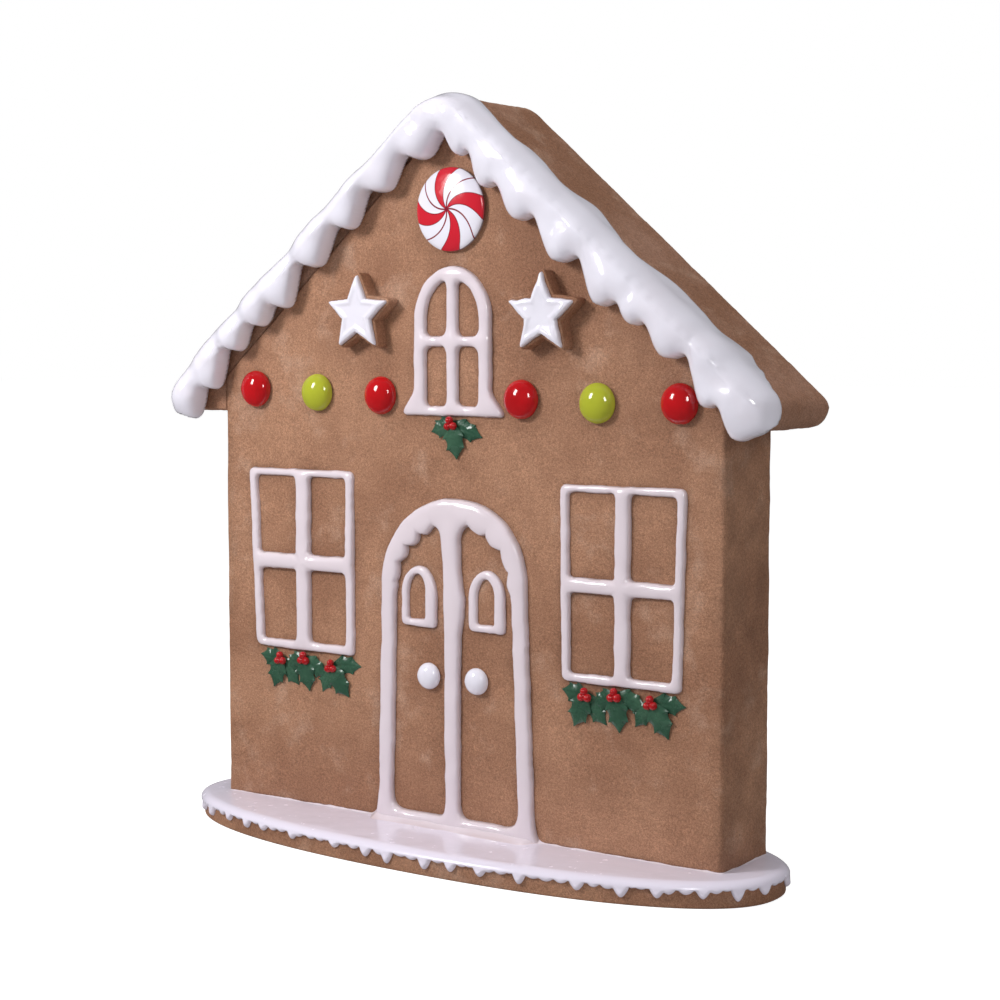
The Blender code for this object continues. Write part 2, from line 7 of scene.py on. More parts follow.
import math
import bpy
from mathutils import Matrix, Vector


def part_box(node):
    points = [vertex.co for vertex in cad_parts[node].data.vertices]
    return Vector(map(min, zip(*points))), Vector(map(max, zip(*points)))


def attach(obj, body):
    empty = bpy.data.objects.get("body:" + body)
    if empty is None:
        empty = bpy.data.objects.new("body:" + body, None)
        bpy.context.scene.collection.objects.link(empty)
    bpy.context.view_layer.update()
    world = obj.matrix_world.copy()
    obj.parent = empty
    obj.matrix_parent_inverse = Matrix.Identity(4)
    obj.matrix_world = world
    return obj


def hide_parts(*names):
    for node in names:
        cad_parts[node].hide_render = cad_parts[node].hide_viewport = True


bl_info = {
    "name": "Gingerbread House Looks",
    "version": (1, 0, 0),
    "blender": (4, 5, 0),
    "location": "View3D > Sidebar > Gingerbread House",
    "description": "Builds the walls, icing, sweets, holly and stage of a gingerbread house",
    "category": "Add Mesh",
}

import bpy
import numpy as np
from bpy.props import FloatProperty, FloatVectorProperty, PointerProperty
from bpy.types import Operator, Panel, PropertyGroup
from mathutils import Matrix, Vector

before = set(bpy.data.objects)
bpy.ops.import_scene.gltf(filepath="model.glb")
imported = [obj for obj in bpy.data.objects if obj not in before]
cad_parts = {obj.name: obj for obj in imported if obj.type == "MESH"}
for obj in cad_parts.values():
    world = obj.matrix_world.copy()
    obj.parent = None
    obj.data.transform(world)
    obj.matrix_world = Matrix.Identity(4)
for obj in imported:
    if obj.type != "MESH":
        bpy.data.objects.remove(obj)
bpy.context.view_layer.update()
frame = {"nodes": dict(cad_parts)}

BODY = "root"
SIDES = ("left", "right")
WALL_LOW, WALL_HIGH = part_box("wall")
ROOF_LOW, ROOF_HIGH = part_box("roof")
BASE_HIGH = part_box("base")[1]
SNOW_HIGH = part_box("base_icing")[1]

# The planes that the pieces stand on: the wall's front, the snow's top and the roof's front
WALL_FACE = WALL_LOW.y
FOOT = SNOW_HIGH.z
ROOF_FACE = ROOF_LOW.y

# The roof's slope and thickness, and the rounding of its ridge and of its eaves
PITCH = math.radians(40.9)
ROOF_THICK = 0.032
RIDGE_RADIUS = 0.076
ROOF_CREST = ROOF_HIGH.z + RIDGE_RADIUS / math.cos(PITCH) - RIDGE_RADIUS
EAVE_RADIUS = 0.021
EAVE_FOOT_RADIUS = {"left": 0.0215, "right": 0.031}
# Where the roof's underside turns down beside the wall, and over how short a run
BESIDE_WALL = WALL_HIGH.x + 0.0003
EAVE_STEP = 0.0012


# ---------------------------------------------------------------------------
# Numbers: noise and blending
# ---------------------------------------------------------------------------

MIX_I, MIX_J, MIX_K, MIX_SEED = 374761393, 668265263, 1440662683, 1274126177
WORD, FRACTION = 0xFFFFFFFF, 0xFFFFFF


def lattice(i, j, k, seed):
    """A fixed number from -1 to 1 for each whole lattice point, mixed from its indices."""
    mixed = (i * MIX_I + j * MIX_J + k * MIX_K + seed * MIX_SEED) & WORD
    mixed = ((mixed ^ (mixed >> 13)) * MIX_SEED) & WORD
    return ((mixed ^ (mixed >> 16)) & FRACTION) / (FRACTION >> 1) - 1.0


def noise(x, y, z, size, seed=0):
    """Smooth noise from -1 to 1: lattice values a size apart, eased between the eight corners."""
    at = np.stack(np.broadcast_arrays(x, y, z), axis=-1) / size
    low = np.floor(at).astype(np.int64)
    part = at - low
    part = part * part * (3.0 - 2.0 * part)
    total = 0.0
    for corner in range(8):
        step = np.array((corner & 1, corner >> 1 & 1, corner >> 2))
        weight = np.prod(np.where(step, part, 1.0 - part), axis=-1)
        at_corner = low + step
        total = total + weight * lattice(
            at_corner[..., 0], at_corner[..., 1], at_corner[..., 2], seed
        )
    return total


def ease(part):
    """0 below 0, 1 above 1, and the smooth curve 3p^2 - 2p^3 between."""
    part = np.clip(part, 0.0, 1.0)
    return part * part * (3.0 - 2.0 * part)


def smooth_min(a, b, width):
    """The smaller of a and b, with the corner between them rounded over this width."""
    overlap = np.maximum(width - np.abs(a - b), 0.0)
    return np.minimum(a, b) - overlap * overlap / (4.0 * width)


def smooth_max(a, b, width):
    """The larger of a and b, with the corner between them rounded over this width."""
    return -smooth_min(-a, -b, width)


# ---------------------------------------------------------------------------
# Regions: distance inside an outline, negative outside it
# ---------------------------------------------------------------------------

def in_polygon(x, z, corners, rounding):
    """Inside a convex outline: the smooth minimum of the distances to its sides.

    The corners go counter-clockwise.
    """
    found = None
    for (x0, z0), (x1, z1) in zip(corners, corners[1:] + corners[:1]):
        length = math.hypot(x1 - x0, z1 - z0)
        side = ((x1 - x0) * (z - z0) - (z1 - z0) * (x - x0)) / length
        found = side if found is None else smooth_min(found, side, rounding)
    return found


def in_ellipse(x, z, half, rise, power=2.0):
    """Inside a superellipse about (0, 0): its level over the level's slope."""
    across, up = np.abs(x) / half, np.abs(z) / rise
    level = np.maximum(across ** power + up ** power, 1e-9) ** (1.0 / power)
    slope = np.hypot(across ** (power - 1.0) / half, up ** (power - 1.0) / rise)
    return (1.0 - level) * level ** (power - 1.0) / np.maximum(slope, 1e-3)


def in_arch(x, z, half, low, spring, top, rounding, power=2.0):
    """Inside an arch: a column of half width half under half a superellipse.

    half may be an array, where the column's sides lean.
    """
    crown = in_ellipse(x, z - spring, half, top - spring, power)
    sides = np.where(z > spring, crown, half - np.abs(x))
    return smooth_min(sides, z - low, rounding)


def in_star(x, z, radius, waist, rounding):
    """Inside a five-pointed star: one tenth of it is folded over the rest, its tips rounded."""
    fold = 2.0 * np.pi / 5.0
    reach = np.hypot(x, z)
    turn = np.abs((np.arctan2(x, z) + fold / 2.0) % fold - fold / 2.0)
    dent = (waist * radius * math.sin(fold / 2.0), waist * radius * math.cos(fold / 2.0))
    length = math.hypot(dent[0], dent[1] - radius)
    along = (dent[0] / length, (dent[1] - radius) / length)
    across, up = reach * np.sin(turn), reach * np.cos(turn) - radius
    near = along[1] * across - along[0] * up
    far = -along[1] * across - along[0] * up
    return smooth_min(near, far, rounding)


def edge_distance(x, z, line, reach):
    """Distance to a line that runs along +x, tried on this many of its pieces either way."""
    start = np.searchsorted(line[:, 0], x)
    best = np.full(np.shape(x), np.inf)
    run, rise = np.diff(line, axis=0).T
    length = run * run + rise * rise
    for shift in range(-reach, reach + 1):
        at = np.clip(start + shift, 0, len(run) - 1)
        from_x, from_z = x - line[at, 0], z - line[at, 1]
        part = np.clip((from_x * run[at] + from_z * rise[at]) / length[at], 0.0, 1.0)
        best = np.minimum(best, np.hypot(from_x - part * run[at], from_z - part * rise[at]))
    return best


def evenly(line, spacing):
    """The same line with its points this far apart, measured along it."""
    steps = np.hypot(*np.diff(line, axis=0).T)
    length = np.concatenate([[0.0], np.cumsum(steps)])
    at = np.linspace(0.0, length[-1], int(length[-1] / spacing) + 2)
    return np.stack([np.interp(at, length, line[:, k]) for k in (0, 1)], axis=1)


# ---------------------------------------------------------------------------
# Surfaces
# ---------------------------------------------------------------------------

# The film over a region: rounds of averaging, each point's share, and the smallest coarse grid
FILM_ROUNDS, FILM_SHARE, FILM_GRID = 90, 0.2, 24
# In steps of the grid: how far outside the outline a point is kept, and where the film is trusted
KEPT, TRUSTED = 0.35, 1.6
SPREAD_ROUNDS, OUTLINE_ROUNDS = 6, 3
# How far the back of a raised piece lies inside what it sits on
SUNK = 0.001


def neighbours(grid):
    """The sum of each point's four neighbours."""
    return sum(np.roll(grid, side, axis) for side in (1, -1) for axis in (0, 1))


def shifted(grid, i, j):
    """The grid with each point's value taken from i rows and j columns further on."""
    return np.roll(np.roll(grid, -i, 0), -j, 1)


def inflate(inside, step):
    """A film blown up over a region: its curvature is -1 inside and its height 0 outside.

    It is solved on a grid of twice the step first, then smoothed by weighted averaging.
    """
    film = np.zeros(inside.shape)
    if min(inside.shape) >= FILM_GRID:
        coarse = inflate(inside[::2, ::2], 2.0 * step)
        film = np.repeat(np.repeat(coarse, 2, axis=0), 2, axis=1)
        film = film[:inside.shape[0], :inside.shape[1]]
    for _ in range(FILM_ROUNDS):
        moved = FILM_SHARE * film + FILM_SHARE * (neighbours(film) + step * step)
        film = np.where(inside, moved, 0.0)
    return film


def spread(values, known, rounds):
    """The values where known, carried outwards as the mean of their known neighbours."""
    values = np.where(known, values, 0.0)
    known = known.astype(float)
    for _ in range(rounds):
        total, count = neighbours(values), neighbours(known)
        fill = (known == 0.0) & (count > 0.0)
        values = np.where(fill, total / np.maximum(count, 1.0), values)
        known = np.where(fill, 1.0, known)
    return values


def moved_to_outline(distance, a, b, step):
    """The points (a, b) brought to where distance is 0, by Newton's steps down its slope."""
    nudge = 0.25 * step
    for _ in range(OUTLINE_ROUNDS):
        off = distance(a, b)
        slope_a = (distance(a + nudge, b) - distance(a - nudge, b)) / (2 * nudge)
        slope_b = (distance(a, b + nudge) - distance(a, b - nudge)) / (2 * nudge)
        steep = np.maximum(slope_a ** 2 + slope_b ** 2, 0.25)
        a = a - np.clip(off * slope_a / steep, -step, step)
        b = b - np.clip(off * slope_b / steep, -step, step)
    return a, b


def relief(distance, low, high, step, thickness, place, back=None, cap=1.0):
    """A closed raised shape over the region of (a, b) where distance(a, b) is positive.

    The region's grid is trimmed at its outline and its border is moved onto it. Over each
    point the half width of the region comes from a film blown up over it, and the span is
    the height of a half circle of that half width, or of a quarter circle where the region
    is wider than cap. thickness(span, a, b) turns the span into a height, and
    place(a, b, height) into a point. The back, at depth back(span, a, b), closes the shape.
    """
    sides = [int(round((high[k] - low[k]) / step)) + 1 for k in (0, 1)]
    a, b = np.meshgrid(
        low[0] + step * np.arange(sides[0]), low[1] + step * np.arange(sides[1]), indexing="ij"
    )
    inward = distance(a, b)
    keep = inward > -KEPT * step
    cell = keep & np.roll(keep, -1, 0)
    cell &= np.roll(cell, -1, 1)
    cell[:, -1] = False
    cell[-1] = False
    around = sum(shifted(cell, -i, -j).astype(int) for i in (0, 1) for j in (0, 1))
    used = around > 0
    border = used & (around < 4)

    film = inflate(inward > 0.0, step)
    deep = inward > TRUSTED * step
    half = (2.0 * film / np.maximum(inward, step) + inward) / 2.0
    half = np.minimum(spread(half, deep, SPREAD_ROUNDS), cap)
    near = np.clip(inward, 0.0, half)
    span = np.sqrt(np.maximum(near * (2.0 * half - near), 0.0))
    span = np.where(deep & (half < cap), np.minimum(np.sqrt(2.0 * film), cap), span)

    a[border], b[border] = moved_to_outline(distance, a[border], b[border], step)
    raised = np.where(border, 0.0, thickness(span, a, b))
    sunk = SUNK + (back(span, a, b) if back else 0.0 * span)
    inner = used & ~border
    front = np.full(a.shape, -1)
    front[used] = np.arange(used.sum())
    rear = front.copy()
    rear[inner] = used.sum() + np.arange(inner.sum())
    points = np.concatenate([
        place(a[used], b[used], raised[used]), place(a[inner], b[inner], -sunk[inner]),
    ])
    corners = [(0, 0), (1, 0), (1, 1), (0, 1)]
    cell &= ~np.logical_and.reduce([shifted(border, i, j) for i, j in corners])
    quads = np.stack([shifted(front, i, j)[cell] for i, j in corners], axis=1)
    backs = np.stack([shifted(rear, i, j)[cell] for i, j in corners], axis=1)
    return points, [quads, backs[:, ::-1]]


def ringed(rings):
    """A closed shape from rings of points: quads between them, and a fan on each end.

    rings has the shape (rings, points round, 3), and goes so that along x round is outward.
    """
    count, around = rings.shape[:2]
    index = np.arange(count * around).reshape(count, around)
    after = np.roll(index, -1, axis=1)
    quads = np.stack([index[:-1], after[:-1], after[1:], index[1:]], axis=-1).reshape(-1, 4)
    first, last = count * around, count * around + 1
    start = np.stack([after[0], index[0], np.full(around, first)], axis=1)
    end = np.stack([index[-1], after[-1], np.full(around, last)], axis=1)
    points = np.concatenate([
        rings.reshape(-1, 3), rings[0].mean(0)[None], rings[-1].mean(0)[None],
    ])
    return points, [quads, start, end]


def add_piece(name, shape, finish, nodes, attributes=None):
    """A mesh object from (points, face arrays), which rides on the body and replaces nodes."""
    points, groups = shape
    mesh = bpy.data.meshes.new(name)
    mesh.vertices.add(len(points))
    mesh.vertices.foreach_set("co", np.ascontiguousarray(points, np.float32).ravel())
    sizes = np.concatenate([np.full(len(group), group.shape[1]) for group in groups])
    corners = np.concatenate([group.ravel() for group in groups])
    mesh.loops.add(len(corners))
    mesh.loops.foreach_set("vertex_index", corners.astype(np.int32))
    mesh.polygons.add(len(sizes))
    starts = np.concatenate([[0], np.cumsum(sizes)[:-1]])
    mesh.polygons.foreach_set("loop_start", starts.astype(np.int32))
    mesh.polygons.foreach_set("loop_total", sizes.astype(np.int32))
    mesh.update(calc_edges=True)
    mesh.validate()
    for key, values in (attributes or {}).items():
        mesh.attributes.new(key, "FLOAT", "POINT").data.foreach_set(
            "value", np.asarray(values, np.float32)
        )
    mesh.shade_smooth()
    mesh.materials.append(finish)
    piece = bpy.data.objects.new(name, mesh)
    bpy.context.scene.collection.objects.link(piece)
    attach(piece, BODY)
    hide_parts(*nodes)


# ---------------------------------------------------------------------------
# Materials
# ---------------------------------------------------------------------------

def add_node(tree, kind, inputs=None, **settings):
    """A node with these settings and inputs; an input is a value or another node's socket."""
    made = tree.nodes.new(kind)
    for name, value in settings.items():
        setattr(made, name, value)
    for name, value in (inputs or {}).items():
        if isinstance(value, bpy.types.NodeSocket):
            tree.links.new(value, made.inputs[name])
        else:
            made.inputs[name].default_value = value
    return made


def math_node(tree, operation, first, second=0.0, clamp=False):
    """The output of a Math node."""
    return add_node(
        tree, "ShaderNodeMath", {0: first, 1: second}, operation=operation, use_clamp=clamp
    ).outputs[0]


def mix_node(tree, factor, first, second, blend="MIX"):
    """The output of a colour Mix node."""
    return add_node(
        tree, "ShaderNodeMix", {0: factor, 6: first, 7: second}, data_type="RGBA", blend_type=blend
    ).outputs[2]


def range_node(tree, value, low, high, to_low=0.0, to_high=1.0):
    """The output of a smooth Map Range node."""
    return add_node(
        tree, "ShaderNodeMapRange",
        {"Value": value, "From Min": low, "From Max": high, "To Min": to_low, "To Max": to_high},
        interpolation_type="SMOOTHSTEP",
    ).outputs[0]


def new_group(name, inputs, outputs):
    """An empty shader node group with named sockets; returns it with its two end nodes."""
    group = bpy.data.node_groups.new(name, "ShaderNodeTree")
    for direction, sockets in (("INPUT", inputs), ("OUTPUT", outputs)):
        for socket, kind in sockets.items():
            group.interface.new_socket(socket, in_out=direction, socket_type=f"NodeSocket{kind}")
    return group, group.nodes.new("NodeGroupInput"), group.nodes.new("NodeGroupOutput")


def noise_node(tree, vector, scale, detail=2.0, roughness=0.5):
    """The output of a Noise Texture node; scale is in repeats per metre."""
    return add_node(
        tree, "ShaderNodeTexNoise",
        {"Vector": vector, "Scale": scale, "Detail": detail, "Roughness": roughness},
    ).outputs["Fac"]


# Repeats per metre of the dough's patterns, from broad mottling to fine grain
DOUGH_SCALE = {
    "broad": 4.5, "patch": 13.0, "cloud": 38.0, "pits": 60.0, "specks": 95.0, "sand": 230.0,
    "grain": 520.0,
}
# How strongly each pattern shows in the colour, and in the relief
DOUGH_COLOUR = {"patch": 0.52, "cloud": 0.30, "speck": 0.55, "pit": 0.6, "shade": 0.75}
DOUGH_RELIEF = {"grain": 0.55, "sand": 0.8, "pit": 0.7, "cloud": 0.6}
# Only cells whose random number is past these hold a speck or a pit
SPECKS_FROM, PITS_BELOW = 0.80, 0.22
PIT_COLOUR = (0.09, 0.04, 0.025)
# The dark brown that painted shade darkens the dough towards
SHADE_COLOUR = (0.10, 0.045, 0.025)


def baked_group():
    """Baked dough: broad mottling, sandy grain, pale sugar specks and small dark pits.

    Shade darkens it towards a dark brown: painted shade, as beside the icing.
    """
    found = bpy.data.node_groups.get("Baked Dough")
    if found:
        return found
    group, start, end = new_group(
        "Baked Dough",
        {"Vector": "Vector", "Body": "Color", "Dark": "Color", "Pale": "Color", "Shade": "Float"},
        {"Color": "Color", "Roughness": "Float", "Height": "Float"},
    )
    vector, body, dark, pale, shade = (
        start.outputs[name] for name in ("Vector", "Body", "Dark", "Pale", "Shade")
    )

    def pattern(name, detail, roughness):
        """One of the dough's noises, at its own scale."""
        return noise_node(group, vector, DOUGH_SCALE[name], detail, roughness)

    def dots(name, wide, narrow):
        """The random number of each cell, and a dot at its middle."""
        cells = add_node(group, "ShaderNodeTexVoronoi", {
            "Vector": vector, "Scale": DOUGH_SCALE[name], "Randomness": 1.0,
        })
        return cells.outputs["Color"], range_node(group, cells.outputs["Distance"], wide, narrow)

    def times(value, factor, clamp=False):
        """The product of two values."""
        return math_node(group, "MULTIPLY", value, factor, clamp)

    broad = range_node(group, pattern("broad", 4.0, 0.6), 0.36, 0.66)
    patch = range_node(group, pattern("patch", 5.0, 0.62), 0.52, 0.72)
    cloud = range_node(group, pattern("cloud", 4.0, 0.65), 0.40, 0.66)
    grain, sand = pattern("grain", 3.0, 0.75), pattern("sand", 3.0, 0.7)
    cell, dot = dots("specks", 0.16, 0.06)
    speck = times(dot, math_node(group, "GREATER_THAN", cell, SPECKS_FROM))
    cell, dot = dots("pits", 0.12, 0.04)
    pit = times(dot, math_node(group, "LESS_THAN", cell, PITS_BELOW))

    colour = mix_node(group, broad, dark, body)
    colour = mix_node(group, times(patch, DOUGH_COLOUR["patch"]), colour, pale)
    colour = mix_node(group, times(cloud, DOUGH_COLOUR["cloud"]), colour, dark)
    tone = times(
        range_node(group, grain, 0.30, 0.70, 0.72, 1.26),
        range_node(group, sand, 0.32, 0.68, 0.86, 1.13),
    )
    grainy = add_node(group, "ShaderNodeCombineColor", {0: tone, 1: tone, 2: tone})
    colour = mix_node(group, 1.0, colour, grainy.outputs[0], "MULTIPLY")
    colour = mix_node(group, times(speck, DOUGH_COLOUR["speck"]), colour, pale)
    colour = mix_node(group, times(pit, DOUGH_COLOUR["pit"]), colour, opaque(PIT_COLOUR))
    # Painted shade: where the shade input is high, the dough darkens towards a dark brown
    shaded = times(shade, DOUGH_COLOUR["shade"], True)
    colour = mix_node(group, shaded, colour, opaque(SHADE_COLOUR))
    group.links.new(colour, end.inputs["Color"])
    group.links.new(range_node(group, sand, 0.3, 0.7, 0.72, 0.50), end.inputs["Roughness"])
    height = times(grain, DOUGH_RELIEF["grain"])
    height = math_node(group, "ADD", height, times(sand, DOUGH_RELIEF["sand"]))
    height = math_node(group, "SUBTRACT", height, times(pit, DOUGH_RELIEF["pit"]))
    height = math_node(group, "ADD", height, times(cloud, DOUGH_RELIEF["cloud"]))
    group.links.new(height, end.inputs["Height"])
    return group


# Repeats per metre of the glaze's drift between its tones, its ripple and its dull patches
GLAZE_SCALE = {"drift": 16.0, "ripple": 45.0, "dull": 60.0}


def glaze_group():
    """Glossy paint: a slow drift between two tones, and a faintly rippled surface.

    Its roughness goes from Sheen to Matt where it is dull.
    """
    found = bpy.data.node_groups.get("Poured Glaze")
    if found:
        return found
    group, start, end = new_group(
        "Poured Glaze",
        {"Vector": "Vector", "Body": "Color", "Tint": "Color", "Sheen": "Float", "Matt": "Float"},
        {"Color": "Color", "Roughness": "Float", "Height": "Float"},
    )
    vector = start.outputs["Vector"]
    drift = noise_node(group, vector, GLAZE_SCALE["drift"], 3.0, 0.55)
    ripple = noise_node(group, vector, GLAZE_SCALE["ripple"], 1.0, 0.4)
    dull = noise_node(group, vector, GLAZE_SCALE["dull"], 2.0, 0.5)
    colour = mix_node(
        group, range_node(group, drift, 0.40, 0.70), start.outputs["Body"], start.outputs["Tint"]
    )
    rough = add_node(group, "ShaderNodeMix", {
        0: range_node(group, dull, 0.45, 0.75), 2: start.outputs["Sheen"], 3: start.outputs["Matt"],
    }, data_type="FLOAT").outputs[0]
    group.links.new(colour, end.inputs["Color"])
    group.links.new(rough, end.inputs["Roughness"])
    group.links.new(ripple, end.inputs["Height"])
    return group


def start_material(name):
    """A material with a Principled BSDF, and its Object coordinates."""
    made = bpy.data.materials.new(name)
    made.use_nodes = True
    tree = made.node_tree
    shader = tree.nodes["Principled BSDF"]
    where = add_node(tree, "ShaderNodeTexCoord").outputs["Object"]
    return made, tree, shader, where


def finish_material(tree, shader, effect, bump, strength):
    """Joins a group's colour, roughness and height to the shader; bump is the relief's depth."""
    tree.links.new(effect.outputs["Color"], shader.inputs["Base Color"])
    tree.links.new(effect.outputs["Roughness"], shader.inputs["Roughness"])
    uneven = add_node(
        tree, "ShaderNodeBump",
        {"Height": effect.outputs["Height"], "Distance": bump, "Strength": strength},
    )
    tree.links.new(uneven.outputs[0], shader.inputs["Normal"])


def use_group(tree, group, inputs):
    """A node that places the group in this material, with its own values."""
    return add_node(tree, "ShaderNodeGroup", inputs, node_tree=group)


def opaque(colour):
    """The colour as the four numbers that a colour socket takes."""
    return (*colour, 1.0)


def baked_material(name, body, dark, pale):
    """Gingerbread: the baked dough effect, darkened by the mesh's own shade attribute."""
    found = bpy.data.materials.get(name)
    if found:
        return found
    made, tree, shader, where = start_material(name)
    shade = add_node(tree, "ShaderNodeAttribute", attribute_name="shade").outputs["Fac"]
    effect = use_group(tree, baked_group(), {
        "Vector": where, "Body": opaque(body), "Dark": opaque(dark), "Pale": opaque(pale),
        "Shade": shade,
    })
    finish_material(tree, shader, effect, bump=0.0014, strength=0.9)
    shader.inputs["Specular IOR Level"].default_value = 0.35
    return made


def glaze_material(name, body, tint, sheen, matt, bump=0.0004, coat=0.0):
    """Glossy cast paint: the poured glaze effect in one colour pair."""
    found = bpy.data.materials.get(name)
    if found:
        return found
    made, tree, shader, where = start_material(name)
    effect = use_group(tree, glaze_group(), {
        "Vector": where, "Body": opaque(body), "Tint": opaque(tint), "Sheen": sheen, "Matt": matt,
    })
    finish_material(tree, shader, effect, bump, strength=0.6)
    shader.inputs["Coat Weight"].default_value = coat
    shader.inputs["Coat Roughness"].default_value = 0.05
    return made


# The peppermint's swirl in degrees: its twist from centre to rim, where its arms start, half of
# an arm's width, and whole turns added so that the angle never falls below zero
SWIRL_TWIST, SWIRL_START, SWIRL_ARM, WHOLE_TURNS = 52.0, 45.0, 16.0, 720.0
MINT_RIM_COLOUR = (0.12, 0.07, 0.06)


def swirl_material(name, centre, radius, red, line, white):
    """Peppermint: four wide arms with dark edges and four thin lines between, all twisted.

    With the angle a round the centre and the distance r out from it, the pattern repeats
    each quarter of a + twist * r, so that arms and lines sweep round as they go out.
    """
    found = bpy.data.materials.get(name)
    if found:
        return found
    made, tree, shader, where = start_material(name)

    def calc(operation, first, second=0.0):
        """The output of a Math node in this material."""
        return math_node(tree, operation, first, second)

    local = add_node(
        tree, "ShaderNodeMapping", {"Vector": where, "Location": (-centre[0], 0.0, -centre[1])}
    ).outputs[0]
    parts = add_node(tree, "ShaderNodeSeparateXYZ", {"Vector": local})
    x, z = parts.outputs["X"], parts.outputs["Z"]
    out = calc("SQRT", calc("ADD", calc("MULTIPLY", x, x), calc("MULTIPLY", z, z)))
    twisted = calc("MULTIPLY", out, math.radians(SWIRL_TWIST) / radius)
    turned = calc("ADD", calc("ARCTAN2", z, x), twisted)
    turned = calc("ADD", turned, math.radians(SWIRL_START - SWIRL_TWIST + WHOLE_TURNS))
    quarter = calc("MODULO", turned, math.pi / 2.0)
    aside = calc("ABSOLUTE", calc("SUBTRACT", quarter, math.pi / 4.0))
    arm_half, soft = math.radians(SWIRL_ARM), 0.02
    arm = range_node(tree, aside, arm_half + soft, arm_half - soft)
    to_edge = calc("ABSOLUTE", calc("SUBTRACT", aside, arm_half))
    to_line = calc("SUBTRACT", math.pi / 4.0, aside)
    edge = range_node(tree, calc("MULTIPLY", to_edge, out), 0.0011, 0.0004)
    thin = range_node(tree, calc("MULTIPLY", to_line, out), 0.0017, 0.0009)
    rim = range_node(tree, out, radius * 0.985, radius * 0.998)
    effect = use_group(tree, glaze_group(), {
        "Vector": where, "Body": opaque(white), "Tint": opaque(white), "Sheen": 0.12, "Matt": 0.2,
    })
    colour = mix_node(tree, arm, effect.outputs["Color"], opaque(red))
    colour = mix_node(tree, calc("MAXIMUM", edge, thin), colour, opaque(line))
    colour = mix_node(tree, calc("MULTIPLY", rim, 0.8), colour, opaque(MINT_RIM_COLOUR))
    finish_material(tree, shader, effect, bump=0.0003, strength=0.5)
    tree.links.new(colour, shader.inputs["Base Color"])
    return made


# ---------------------------------------------------------------------------
# The house's own outlines
# ---------------------------------------------------------------------------

# Each lower window: its box, corners as offsets from the box's corners, and its bars' crossing
WINDOWS = {
    side: (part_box(f"{side}_window"), corners, cross) for side, corners, cross in (
        ("left", ((0.0116, 0.001), (0.002, 0.0), (0.001, 0.001), (-0.002, 0.0)), (-0.3126, 0.450)),
        ("right", ((0.0035, 0.0), (-0.0101, 0.0), (-0.002, 0.003), (0.0, 0.002)), (0.318, 0.450)),
    )
}
# The widths of their bars, and the rounding of their corners and of their panes' corners
TOP_BAR, BOTTOM_BAR = 0.0125, 0.0145
SIDE_BAR = {"left": 0.0175, "right": 0.0158}
MULLION = {"left": 0.0300, "right": 0.0275}
CROSSBAR = {"left": 0.0275, "right": 0.0235}
WINDOW_CORNER, PANE_CORNER = 0.012, 0.009
# How softly a hole's edge is cut into a piece of icing
HOLE_EDGE = 0.003

# The arched window: half its width, where its arch starts, its crossing, its bars and its foot
UPPER_LOW, UPPER_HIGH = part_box("upper_window")
UPPER_HALF = 0.0735
UPPER_SPRING = UPPER_HIGH.z - 0.084
UPPER_CROSS = UPPER_LOW.z + 0.1185
UPPER_SIDE_BAR, UPPER_TOP_BAR, UPPER_SILL = 0.0215, 0.021, 0.016
UPPER_MULLION, UPPER_CROSSBAR, UPPER_PANE_CORNER = 0.0210, 0.0176, 0.014
UPPER_FOOT_SPREAD, UPPER_FOOT_HEIGHT = 0.025, 0.045

# The door: half its width and the height where its arch starts, its bars, and its foot, where
# it is wider, stands a little to one side and flares out into the snow
DOOR_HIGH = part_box("door_frame")[1]
DOOR_SPRING_HALF = 0.143
DOOR_SPRING = DOOR_HIGH.z - 0.140
DOOR_JAMB, DOOR_LINTEL, DOOR_SILL = 0.029, 0.040, 0.018
DOOR_SPREAD, DOOR_SHIFT = 0.0125, 0.0035
DOOR_FLARE, DOOR_FLARE_HEIGHT = 0.010, 0.012
DOOR_PANEL_CORNER, DOOR_BAR_CORNER = 0.026, 0.018
DOOR_POWER = {"left": 1.95, "right": 2.25}
# The scallops inside its arch, |sin(n a)|^0.7 of their depth at the angle a from straight up:
# n, the depth, and how far below the spring the angle's centre is
SCALLOPS, SCALLOP_DEPTH, SCALLOP_CENTRE = {"left": 11.5, "right": 10.5}, 0.0080, 0.02
# The centre bar: height above the snow, half width, and place
DOOR_BAR = (
    (0.0, 0.019, 0.001), (0.04, 0.0145, 0.000), (0.206, 0.0145, -0.001), (0.309, 0.0155, 0.000),
    (0.345, 0.0195, 0.002), (0.372, 0.0205, 0.003), (0.42, 0.0165, -0.001), (0.485, 0.019, -0.005),
)

STAR_RADIUS = 0.0660
STAR_WAIST = 0.455
STAR_TIP = 0.006
# A star's box has its middle (1 - cos 36) / 2 of its radius above the star's centre, which is
# then moved up by its lift
STAR_BOX_RADIUS = 0.0605
STAR_BELOW = 0.0955 * STAR_BOX_RADIUS
STAR_LIFT = {"left": 0.0010, "right": -0.0015}
STARS = {side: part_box(f"star_icing_{side}") for side in SIDES}


def icing_ripple(x, z, seed):
    """Small unevenness of a hand-laid icing line: two sizes of noise."""
    return 0.0009 * noise(x, 0.0, z, 0.024, seed) + 0.0004 * noise(x, 0.0, z, 0.009, seed + 1)


